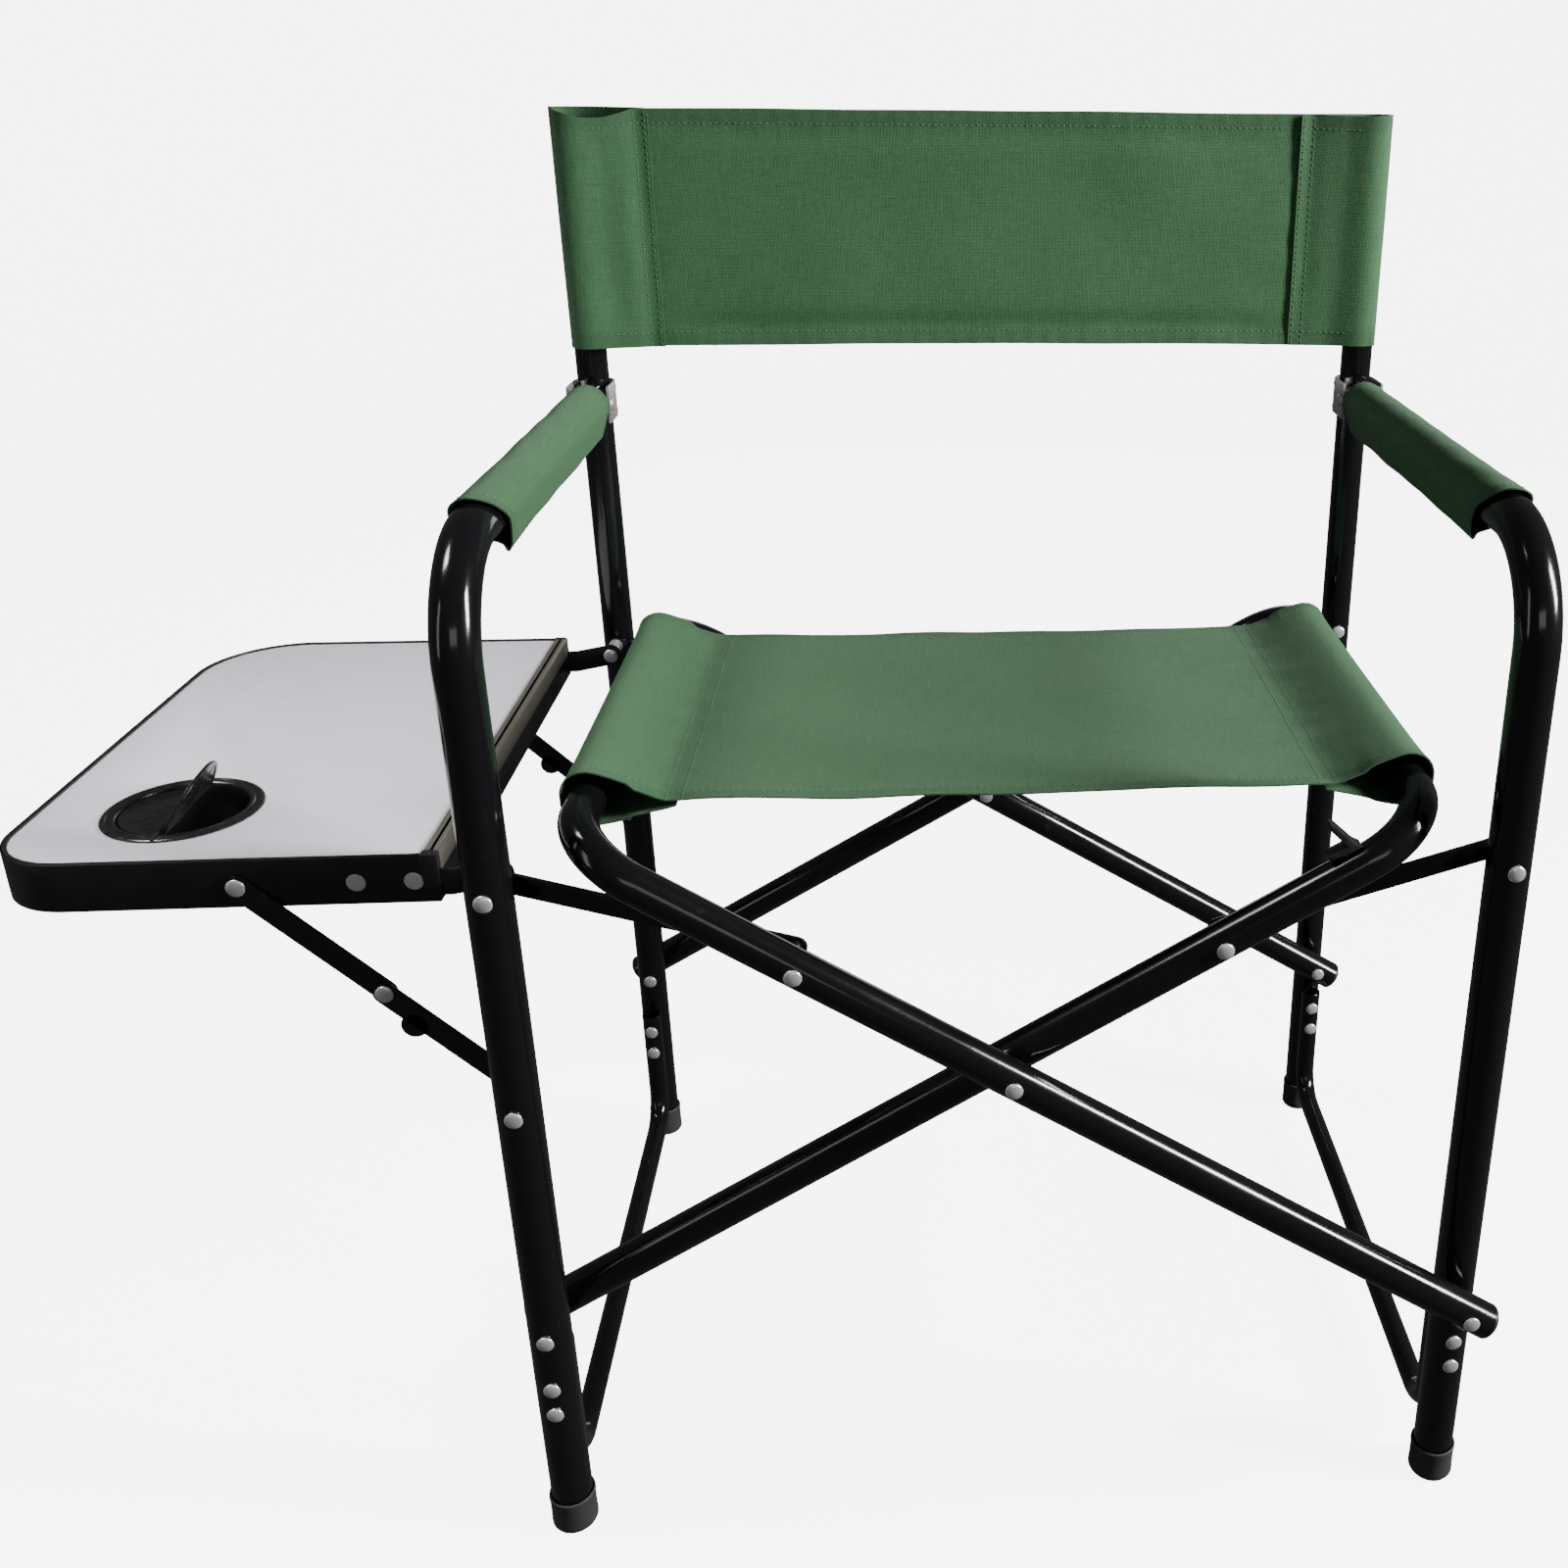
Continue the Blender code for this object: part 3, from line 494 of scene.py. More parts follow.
def plate_mesh(outlines, thickness, matrix, edge=0.0003):
    """A flat outline with holes, of a given thickness, with its edges rounded."""
    curve = bpy.data.curves.new("plate", "CURVE")
    curve.dimensions = "2D"
    curve.fill_mode = "BOTH"
    curve.extrude = thickness / 2 - edge
    curve.bevel_depth = edge
    curve.bevel_resolution = 1
    curve.offset = -edge
    curve.render_resolution_u = 0
    for outline in outlines:
        spline = curve.splines.new("POLY")
        spline.points.add(len(outline) - 1)
        for point, place in zip(spline.points, outline):
            point.co = (place[0], place[1], 0, 1)
        spline.use_cyclic_u = True
    mesh = baked(in_scene("plate", curve))
    work = bmesh.new()
    work.from_mesh(mesh)
    bmesh.ops.remove_doubles(work, verts=work.verts, dist=1e-6)
    work.to_mesh(mesh)
    work.free()
    mesh.transform(matrix)
    return mesh


def upright(y):
    """Stands a plate, drawn in the chair's x and z, at a place in y."""
    return Matrix.Translation(at(0, y, 0)) @ Matrix.Rotation(math.pi / 2, 4, "X")


def standing_plate(outline, y_low, y_high, edge=0.0004):
    """A plate drawn in the chair's x and z, from one place in y to another."""
    return plate_mesh([outline], y_high - y_low, upright((y_low + y_high) / 2), edge)


def level(z):
    """Lays a plate, drawn in the chair's x and y, at a height."""
    return Matrix.Translation(at(0, 0, z))


def joined(meshes):
    """One mesh of several."""
    work = bmesh.new()
    for mesh in meshes:
        work.from_mesh(mesh)
        bpy.data.meshes.remove(mesh)
    return mesh_of(work)


# ---- rivets
def rivet_profile(length, spacers=(), head=True, tail=True, head_r=HEAD_R, head_h=HEAD_H):
    """From the head's top, at negative height, to the tail's top."""
    dome = [(head_r * math.sin(t), -head_h * (0.18 + 0.82 * math.cos(t)))
            for t in (math.radians(15 * i) for i in range(7))]
    dome[0] = (0.0, -head_h)
    foot = [(head_r * 0.97, 0.0)]
    points = dome + foot if head else [(0.0, 0.0)]
    points.append((SHAFT_R, 0.0))
    for low, high in spacers:
        points += [(SHAFT_R, low), (SPACER_R, low), (SPACER_R, high), (SHAFT_R, high)]
    points.append((SHAFT_R, length))
    if tail:
        points += [(r, length - h) for r, h in reversed(dome + foot)]
    else:
        points.append((0.0, length))
    return points


def rivet(name, x, z, y_start, y_end, body, node=None, spacers=(), head=True, tail=True, head_h=HEAD_H):
    """A rivet along Y from under its head to under its tail."""
    shifted = [(low - y_start, high - y_start) for low, high in spacers]
    along_y = Matrix.Translation(at(x, y_start, z)) @ Matrix.Rotation(-math.pi / 2, 4, "X")
    profile = rivet_profile(y_end - y_start, shifted, head, tail, head_h=head_h)
    mesh = lathe_mesh(profile, along_y, 24)
    piece(name, mesh, body, RIVET, (node,) if node else ())


def cad_rivet(node, body, head=True, tail=True, spacers=(), head_h=HEAD_H):
    """A finer rivet in the place of a CAD rivet."""
    low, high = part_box(node)
    x, z = (low.x + high.x) / 2 - MID_X, (low.z + high.z) / 2
    y_start = low.y - FRONT_Y + (head_h if head else 0)
    y_end = high.y - FRONT_Y - (head_h if tail else 0)
    rivet(node + "_fine", x, z, y_start, y_end, body, node, spacers, head, tail, head_h)


# ---- side frames
def side_frame(side):
    body = side + "_frame"
    x = -HALF_WIDTH if side == "left" else HALF_WIDTH
    leg_path = rounded_path([at(x, 0, FOOT_FLOOR), at(x, 0, ARM_Z), at(x, ARM_END, ARM_Z)],
                            ARM_BEND, 24)
    piece(f"leg_{side}", tube_mesh(leg_path, LEG_R), body, PAINT, ["front_leg_" + side])
    piece(f"post_{side}",
          tube_mesh([at(x, DEPTH, FOOT_FLOOR), at(x, DEPTH, 0.4),
                     at(x, DEPTH, POST_TOP)], POST_R), body, PAINT, ["back_post_" + side])

    bar_front = LEG_R + BAR_R + GAP
    bar_rear = DEPTH - POST_R - BAR_R - GAP
    bar_path = rounded_path([at(x, bar_front, BAR_TOP), at(x, bar_front, BAR_Z),
                             at(x, bar_rear, BAR_Z), at(x, bar_rear, BAR_TOP)], BAR_BEND, 14)
    piece(f"foot_rail_{side}", tube_mesh(bar_path, BAR_R, 28, 0.0010, 0.01),
          body, PAINT, ["floor_bar_" + side])
    for end, heights, y_start, y_end in (
            ("front", (0.116, 0.097), -LEG_R, bar_front + BAR_R),
            ("rear", (0.113, 0.093), bar_rear - BAR_R, DEPTH + POST_R)):
        for height in heights:
            rivet(f"bar_rivet_{end}_{side}_{round(height * 1000)}", x, height, y_start, y_end, body)

    for end, y, radius in (("front", 0, LEG_R), ("rear", DEPTH, POST_R)):
        foot_cap(f"{end}_foot_{side}", x, y, radius, body)
    arm_clamp(side, x, body)
    arm_sleeve(side, x, 1 if side == "left" else -1, body)


def foot_cap(node, x, y, radius, body):
    """A rubber cap with a rolled mouth, a faint waist and a rounded sole."""
    bore, wall = radius + 0.0001, radius + 0.0016
    mouth = [(bore, 0.0215), (bore + 0.0002, 0.0232), ((bore + wall) / 2, 0.0240),
             (wall, 0.0232), (wall + 0.0001, 0.0215), (wall - 0.0003, 0.0195)]
    sole = [(wall - 0.0002, 0.0065), (wall, 0.0045), (wall - 0.0001, 0.0022),
            (wall - 0.0009, 0.0007), (wall - 0.0022, 0.0), (0.0, 0.0)]
    profile = [(0.0, FOOT_FLOOR - GAP), (bore, FOOT_FLOOR - GAP)] + mouth + sole
    mesh = lathe_mesh(profile, Matrix.Translation(at(x, y, 0)), 40)
    piece(node + "_rubber", mesh, body, RUBBER, [node])


def arm_clamp(side, x, body):
    """The zinc strap round the post, with two beads, and its bolt and nut."""
    inner = LEG_R + 0.0004
    outer = inner + 0.0017
    ear = DEPTH - 0.026
    strap = ([(x - outer, ear), (x - inner, ear)]
             + arc((x, DEPTH), inner, 180, 0, 24)
             + [(x + inner, ear), (x + outer, ear)] + arc((x, DEPTH), outer, 0, 180, 24))
    meshes = [plate_mesh([strap], 0.0255, level(ARM_Z), 0.0005)]
    for bead in (-0.0085, 0.0085):
        rib = (arc((x, DEPTH), outer - 0.0002, 200, -20, 24)
               + arc((x, DEPTH), outer + 0.0004, -20, 200, 24))
        meshes.append(plate_mesh([rib], 0.0022, level(ARM_Z + bead), 0.0002))
    piece(f"arm_clamp_{side}", joined(meshes), body, ZINC, ["arm_bracket_" + side])
    bolt_y = DEPTH - 0.0195
    hexagon = arc((0, 0), 0.0048, 0, 300, 5)
    inward = 1 if side == "left" else -1
    across = Matrix.Translation(at(x, bolt_y, ARM_Z)) @ Matrix.Rotation(math.pi / 2, 4, "Y")
    nut = plate_mesh([hexagon], 0.0022,
                     across @ Matrix.Translation((0, 0, -inward * (outer + 0.0011))), 0.0003)
    dome = lathe_mesh(rivet_profile(2 * outer, (), True, False, 0.0048, 0.0022),
                      across @ Matrix.Rotation(0 if inward < 0 else math.pi, 4, "X")
                      @ Matrix.Translation((0, 0, -outer)), 24)
    piece(f"arm_bolt_{side}_fine", joined([nut, dome]), body, ZINC, ["arm_bolt_" + side])


# ---- cloth
def cloth_mesh(columns, rows, place, flat_u, flat_v, doubled, closed=False):
    """A sheet of cloth with thickness.

    place(u, v) gives a world point for shares u and v of the width and length, flat_u and
    flat_v the cut's size in metres for the weave, and doubled(u, v) where cloth is doubled, which the
    material darkens as painted shade.
    """
    work = bmesh.new()
    uv_layer = work.loops.layers.uv.new("weave")
    layer = work.verts.layers.float.new("doubled")
    grid = []
    for i in range(columns + (0 if closed else 1)):
        line = []
        for j in range(rows + 1):
            vert = work.verts.new(place(i / columns, j / rows))
            vert[layer] = doubled(i / columns, j / rows)
            line.append(vert)
        grid.append(line)
    for i in range(columns):
        k = (i + 1) % len(grid)
        for j in range(rows):
            face = work.faces.new((grid[i][j], grid[k][j], grid[k][j + 1], grid[i][j + 1]))
            corners = ((i, j), (i + 1, j), (i + 1, j + 1), (i, j + 1))
            for loop, (a, b) in zip(face.loops, corners):
                loop[uv_layer].uv = (a / columns * flat_u, b / rows * flat_v)
    holder = in_scene("cloth", mesh_of(work))
    shell = holder.modifiers.new("thickness", "SOLIDIFY")
    shell.thickness = CLOTH_T
    shell.offset = 0
    return baked(holder)


def hemmed(height):
    """Where a sheet of this height is doubled by the hems at its two ends."""
    return lambda u, v: 1.0 if min(v, 1 - v) * height < HEM else 0.0


def smooth_line(knots, count, closed=False):
    """Points evenly spaced along a Catmull-Rom curve through the knots."""
    dense = []
    last = len(knots) if closed else len(knots) - 1
    for i in range(last):
        if closed:
            p0, p1, p2, p3 = (Vector(knots[(i + k) % len(knots)]) for k in (-1, 0, 1, 2))
        else:
            p1, p2 = Vector(knots[i]), Vector(knots[i + 1])
            p0 = Vector(knots[i - 1]) if i else p1 * 2 - p2
            p3 = Vector(knots[i + 2]) if i + 2 < len(knots) else p2 * 2 - p1
        for step in range(24):
            t = step / 24
            dense.append(0.5 * (2 * p1 + (p2 - p0) * t + (2 * p0 - 5 * p1 + 4 * p2 - p3)
                                * t * t + (3 * p1 - p0 - 3 * p2 + p3) * t ** 3))
    dense.append(Vector(knots[0]) if closed else Vector(knots[-1]))
    lengths = [0.0]
    for a, b in zip(dense, dense[1:]):
        lengths.append(lengths[-1] + (b - a).length)
    line, k = [], 0
    for i in range(count + 1):
        want = lengths[-1] * i / count
        while k < len(dense) - 2 and lengths[k + 1] < want:
            k += 1
        span = max(lengths[k + 1] - lengths[k], 1e-9)
        line.append(dense[k].lerp(dense[k + 1], min(max((want - lengths[k]) / span, 0), 1)))
    return line, lengths[-1]


def stitch_mesh(runs, pitch=0.0042, length=0.0029, radius=0.00034):
    """Rows of stitches along runs; each run is a list of (point, normal)."""
    work = bmesh.new()
    for run in runs:
        travelled, want = 0.0, pitch / 2
        for (a, normal), (b, _) in zip(run, run[1:]):
            span = (b - a).length
            while want <= travelled + span:
                one_stitch(work, a.lerp(b, (want - travelled) / span),
                           (b - a).normalized(), normal, length, radius)
                want += pitch
            travelled += span
    return finished_mesh(work)


def one_stitch(work, centre, along, normal, length, radius):
    """A short thread that dips into the cloth at both ends."""
    side = along.cross(normal).normalized()
    rings = []
    for share, swell, lift in ((-0.5, 0.45, -1.0), (-0.25, 0.95, 0.15), (0, 1, 0.4),
                               (0.25, 0.95, 0.15), (0.5, 0.45, -1.0)):
        middle = centre + along * length * share + normal * radius * lift
        turns = [math.tau * i / 6 for i in range(6)]
        rings.append([work.verts.new(middle + (side * math.cos(t) + normal * math.sin(t)) * radius * swell)
                      for t in turns])
    bridge(work, rings)
    work.faces.new(rings[0])
    work.faces.new(rings[-1])


def sewn_cloth(name, mesh, body, cad_node, stitching, runs):
    """A cloth piece and the piece of its stitches."""
    cover = piece(name, mesh, body, CLOTH, [cad_node], 60)
    stitches = piece(stitching, stitch_mesh(runs), body, STITCH)
    return cover, stitches


def ripple(seed, u, v, size):
    """Soft unevenness, from -1 to 1, at a feature size in metres."""
    return noise.noise(Vector((u / size, v / size, seed)))


def arm_sleeve(side, x, inward, body):
    """The loose sleeve on an armrest, with its seam hanging low on the inner side."""
    front, rear = chair_y("arm_sleeve_" + side, 0), chair_y("arm_sleeve_" + side, 1)
    r = LEG_R + 0.0018
    top = [(r * math.cos(math.radians(a)) * inward, r * math.sin(math.radians(a)))
           for a in range(0, 241, 30)]
    knots = top + [(inward * 0.0035, -0.0180), (inward * 0.0062, -0.0225), (inward * 0.0092, -0.0165)]
    line, girth = smooth_line([(a, b, 0) for a, b in knots], 56, closed=True)

    def place(u, v):
        point = line[round(u * 56) % 56]
        low = (1 - point.y / r) / 2
        y_front = front - 0.010 + 0.034 * min(low, 1.15)
        y = y_front + (rear - y_front) * v
        loose = 1.015 + 0.045 * ripple(3 if inward > 0 else 8, point.x * 3 + y, point.y * 3, 0.040)
        loose += 0.05 * math.exp(-(y - y_front) / 0.012)
        return at(x + point.x * loose, y, ARM_Z + point.y * loose)

    def doubled(u, v):
        return 1.0 if v < 0.03 or v > 0.97 else 0.0

    mesh = cloth_mesh(56, 70, place, girth, rear - front, doubled, closed=True)
    seam_u = (len(knots) - 2.2) / len(knots)
    seam = [(place(seam_u, j / 60) + Vector((-inward * 0.0006, 0, 0)),
             Vector((-inward, 0, 0))) for j in range(2, 59)]
    runs = [seam]
    for v in (0.032, 0.968):
        ring = []
        for i in range(40):
            outward = Vector((line[i].x, 0, line[i].y)).normalized()
            ring.append((place(i / 56, v) + outward * CLOTH_T / 2, outward))
        runs.append(ring)
    sewn_cloth(f"sleeve_{side}", mesh, body, "arm_sleeve_" + side, f"sleeve_stitching_{side}",
               runs)


# ---- seat
SEAM_X = 0.190
SEAM_LAP = 0.008        # how far the pocket is sewn over the panel
SEAT_COLUMNS = 150


def seat_section():
    """The seat cloth's cross-section in x and z, from under one rail to under the other."""
    dip = 0.0015
    outer = [(x, RAIL_Z + rise) for x, rise in (
        (SEAM_X - 0.006, -0.0022), (0.205, -0.0075), (0.222, -0.0116), (0.2355, -0.0128),
        (0.2445, -0.0065), (0.2468, 0.0035), (0.2425, 0.0125), (0.2325, 0.0164),
        (0.220, 0.0132), (0.205, 0.0068), (0.1945, 0.0025), (SEAM_X, 0.0012))]
    panel = [(x, RAIL_Z + 0.0010 - dip * (1 - (x / SEAM_X) ** 2))
             for x in (0.184, 0.15, 0.08, 0.0, -0.08, -0.15, -0.184)]
    knots = outer + panel + [(-a, b) for a, b in reversed(outer)]
    return smooth_line([(a, b, 0) for a, b in knots], SEAT_COLUMNS)


def seat():
    line, width = seat_section()
    depth = SEAT_REAR - SEAT_FRONT

    def place(u, v):
        point = line[round(u * SEAT_COLUMNS)]
        y = SEAT_FRONT + depth * v
        taut = max(0.0, 1 - abs(point.x) / SEAM_X)
        near_seam = math.exp(-((abs(point.x) - SEAM_X) / 0.016) ** 2)
        sag = -0.0022 * math.sin(math.pi * v) * min(1.0, taut * 2)
        folds = 0.0011 * near_seam * ripple(1, y, point.x, 0.022)
        swell = 0.0012 * ripple(2, point.x, y, 0.085) * min(1.0, taut * 3)
        edge = 0.0012 * math.exp(-min(v, 1 - v) * depth / 0.010) * ripple(5, point.x, 0, 0.06)
        flare = 0.0022 * math.exp(-min(v, 1 - v) * depth / 0.016) * (abs(point.x) > 0.21)
        z = point.y + sag + folds + swell + edge
        z += flare if point.y > RAIL_Z else -flare * 0.4
        wave = 0.0016 * ripple(6, point.x, 0, 0.11) * (1 if v < 0.5 else -1)
        return at(point.x, y + wave * abs(2 * v - 1), z)

    def doubled(u, v):
        sewn = SEAM_X - SEAM_LAP < abs(line[round(u * SEAT_COLUMNS)].x) < SEAM_X
        return 1.0 if sewn or min(v, 1 - v) * depth < HEM else 0.0

    mesh = cloth_mesh(SEAT_COLUMNS, 72, place, width, depth, doubled)
    up = Vector((0, 0, 1))
    lift = Vector((0, 0, CLOTH_T / 2))

    def u_of(x):
        top = [i for i, p in enumerate(line) if p.y > RAIL_Z - 0.0045]
        return min(top, key=lambda i: abs(line[i].x - x)) / SEAT_COLUMNS

    runs = []
    for x in (SEAM_X, SEAM_X - SEAM_LAP, -SEAM_X, SEAM_LAP - SEAM_X):
        u = u_of(x)
        runs.append([(place(u, j / 60) + lift, up) for j in range(61)])
    first, last = sorted((round(u_of(0.225) * SEAT_COLUMNS), round(u_of(-0.225) * SEAT_COLUMNS)))
    for v in (HEM / depth, 1 - HEM / depth):
        runs.append([(place(i / SEAT_COLUMNS, v) + lift, up) for i in range(first, last + 1)])
    for soft in sewn_cloth("seat_cloth", mesh, None, "seat_sling", "seat_stitching", runs):
        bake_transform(soft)


# ---- backrest
BACK_SEAM = 0.230
BACK_H = BACK_HIGH - BACK_LOW
PANEL_Y = DEPTH - 0.0032


def back_height(share, bow):
    return BACK_LOW + BACK_H * share + bow


def back_pocket(side, body):
    """The back's pocket round one post, sewn to the panel."""
    # the right one is flatter in front, because the folded seat tube passes it
    sign, bulge, slack, low_slack, seed = ((-1, 0.0153, 0.0065, -0.0012, 11) if side == "left"
                                           else (1, 0.0126, 0.0010, 0.0018, 12))
    knots = [(BACK_SEAM - 0.0005, PANEL_Y + 0.0020), (0.2400, DEPTH + 0.0035),
             (0.2540, DEPTH + 0.0095), (0.2700, DEPTH + 0.0125), (0.2820, DEPTH + 0.0095),
             (0.2866, DEPTH), (0.2832, DEPTH - bulge * 0.75), (0.2720, DEPTH - bulge),
             (0.2540, DEPTH - bulge * 0.66), (0.2400, DEPTH - bulge * 0.40 - 0.0012),
             (BACK_SEAM, PANEL_Y - 0.0012), (BACK_SEAM - SEAM_LAP, PANEL_Y - 0.0012)]
    line, width = smooth_line([(a * sign, b, 0) for a, b in knots], 60)

    def place(u, v):
        point = line[round(u * 60)]
        front = u > 0.55
        away = abs(abs(point.x) - BACK_SEAM)
        hang = math.sin(math.pi * min(away / 0.055, 1))
        sag = -slack * math.exp(-(1 - v) * BACK_H / 0.016) * hang if front else 0.0
        open_top = -0.0028 * math.exp(-(1 - v) * BACK_H / 0.03) if front else 0.0
        open_low = low_slack * math.exp(-v * BACK_H / 0.02) if front else 0.0
        unevenness = ripple(seed, point.x + u * 0.05, v * BACK_H * 0.45, 0.03)
        loose = 0.0008 * unevenness * min(away / 0.01, 1)
        y = point.y + (open_top + open_low) * min(away / 0.02, 1) + loose
        return at(point.x, y, back_height(v, sag - 0.0008 * v))

    mesh = cloth_mesh(60, 52, place, width, BACK_H, hemmed(BACK_H))
    toward = Vector((0, -1, 0))
    lift = toward * CLOTH_T / 2
    runs = [[(place(u, j / 40) + lift, toward) for j in range(41)] for u in (0.984, 0.934)]
    for v in (HEM / BACK_H, 1 - HEM / BACK_H):
        runs.append([(place(i / 60, v) + lift, toward) for i in range(42, 60)])
    sewn_cloth(f"back_pocket_{side}", mesh, body, "back_sling",
               f"back_pocket_stitching_{side}", runs)


def back_panel():
    """The back's middle panel."""
    columns = 110

    def place(u, v):
        x = BACK_SEAM * (2 * u - 1)
        inner = math.sin(math.pi * u)
        belly = 0.0003 + 0.0050 * inner * (0.75 + 0.25 * math.sin(math.pi * v))
        near_seam = math.exp(-(BACK_SEAM - abs(x)) / 0.022)
        folds = 0.0009 * near_seam * ripple(21, x, v * BACK_H * 1.6, 0.028)
        swell = 0.0016 * ripple(22, x, v * BACK_H, 0.07) * min(1.0, inner * 2)
        hem_wave = 0.0009 * math.exp(-min(v, 1 - v) * BACK_H / 0.009) * math.sin(x / 0.0021)
        belly += 0.0022 * math.exp(-((v - 0.085) / 0.05) ** 2) * min(1.0, inner * 3)
        belly += 0.0009 * math.exp(-((v - 0.90) / 0.05) ** 2) * min(1.0, inner * 3)
        bow = (0.0008 * ripple(23, x, 3.0, 0.09) - 0.0010 * inner) * (2 * v - 1)
        bow -= 0.0008 * v * (1 - inner)
        clear = min(1.0, (BACK_SEAM - abs(x)) / 0.008)
        return at(x, PANEL_Y + belly + (folds + swell + hem_wave * 0.35) * clear,
                  back_height(v, bow * clear - 0.0008 * v * (1 - clear)))

    mesh = cloth_mesh(columns, 52, place, 2 * BACK_SEAM, BACK_H, hemmed(BACK_H))
    toward = Vector((0, -1, 0))
    lift = toward * CLOTH_T / 2
    runs = [[(place(i / columns, v) + lift, toward) for i in range(1, columns)]
            for v in (HEM / BACK_H, 1 - HEM / BACK_H)]
    for soft in sewn_cloth("back_panel", mesh, "left_frame", "back_sling",
                           "back_panel_stitching", runs):
        at(-BACK_SEAM, PANEL_Y, BACK_LOW)
        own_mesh(soft)


# ---- crossed seat tubes
def crossed_tube(letter, rail_side, front, rear):
    body = "x_frame_" + letter
    slope = Vector((rail_side * math.cos(REST_ANGLE), math.sin(REST_ANGLE)))

    def along(reach, ends):
        y = ends[1] - (ends[0] - ends[1]) * reach / ARM_LENGTH
        return at(slope.x * reach, y, CROSS_Z + slope.y * reach)

    tail = -(ARM_LENGTH + TUBE_TAIL)
    path = rounded_path([along(tail, front), along(RAIL_LENGTH, front),
                         along(RAIL_LENGTH, rear), along(tail, rear)], RAIL_BEND, 22)
    piece("seat_tube_" + letter, tube_mesh(path, X_R), body, PAINT, ["x_tube_" + letter])
    for end, ends in (("front", front), ("rear", rear)):
        tip = along(tail, ends)
        outward = (tip - along(0, ends)).normalized()
        turn = outward.to_track_quat("Z", "Y").to_matrix().to_4x4()
        profile = [(0, -0.006), (X_R - 0.0013, -0.006), (X_R - 0.0013, 0.0001),
                   (X_R, 0.0001), (X_R + 0.0001, 0.0008), (X_R * 0.97, 0.0019),
                   (X_R * 0.82, 0.0034), (X_R * 0.5, 0.0045), (0, 0.0050)]
        piece(f"end_plug_{letter}_{end}",
              lathe_mesh(profile, Matrix.Translation(tip) @ turn), body,
              PLASTIC, [f"tube_plug_{letter}_{end}"])
    return along


def fold_clip(along_b):
    """A sprung clip: a foot on the tube and two prongs with a small gap between them."""
    seat_at = along_b(RAIL_LENGTH - 0.048, B_FRONT) - at(0, 0, 0)
    normal = Vector((-math.sin(REST_ANGLE), math.cos(REST_ANGLE)))
    foot = Vector((seat_at.x, seat_at.z)) + normal * (X_R + GAP)
    root = foot + normal * 0.004
    half = 0.0011
    outline = [(foot.x - 0.004, foot.y - 0.0008), (foot.x + 0.005, foot.y + 0.0045),
               (root.x + 0.003, root.y + 0.003), (root.x - 0.0085, root.y + 0.0135),
               (root.x - 0.0112, root.y + 0.0142), (root.x - 0.012, root.y + 0.0118),
               (root.x - half, root.y + half), (root.x - 0.0095, root.y - 0.0038),
               (root.x - 0.0120, root.y - 0.0046), (root.x - 0.0105, root.y - 0.0070)]
    piece("clip", plate_mesh([outline], 0.010, upright(seat_at.y), 0.0004),
          "x_frame_b", PLASTIC, ["fold_clip"])


# ---- flat bars
def bar_outline(start, end, width):
    turn = math.degrees(math.atan2(end[1] - start[1], end[0] - start[0]))
    return (arc(end, width / 2, turn - 90, turn + 90) + arc(start, width / 2, turn + 90, turn + 270))


def flat_bar(node, start, end, width, body, tab=None):
    """A flat steel bar in the place of a CAD bar, with rounded edges and ends."""
    y_low, y_high = chair_y(node, 0), chair_y(node, 1)
    outlines = [bar_outline(start, end, width)]
    if tab:
        outlines.append(arc(tab, 0.0075, 0, 345, 23))
    meshes = [standing_plate(outline, y_low, y_high) for outline in outlines]
    piece(node + "_bar", joined(meshes), body, PAINT, [node])


def links_and_braces():
    for side, sign in (("left", -1), ("right", 1)):
        for end in ("front", "rear"):
            node = f"link_{end}_{side}"
            hinge = (sign * HALF_WIDTH, LINK_Z)
            near = chair_x(node, 1 if sign < 0 else 0) + sign * LINK_W / 2
            flat_bar(node, hinge, (near, node_z(node, 0) + LINK_W / 2), LINK_W, side + "_links")
    bar = Vector((KNEE[0] - BRACE_FOOT[0], KNEE[1] - BRACE_FOOT[1])).normalized()
    outer = Vector((-bar.y, bar.x))
    tab = Vector(KNEE) - bar * 0.024 + outer * 0.0055
    for end in ("front", "rear"):
        flat_bar("upper_brace_" + end, BRACE_PIN, KNEE, 0.013, "upper_braces")
        flat_bar("lower_brace_" + end, BRACE_FOOT, KNEE, 0.013, "lower_braces", tuple(tab))


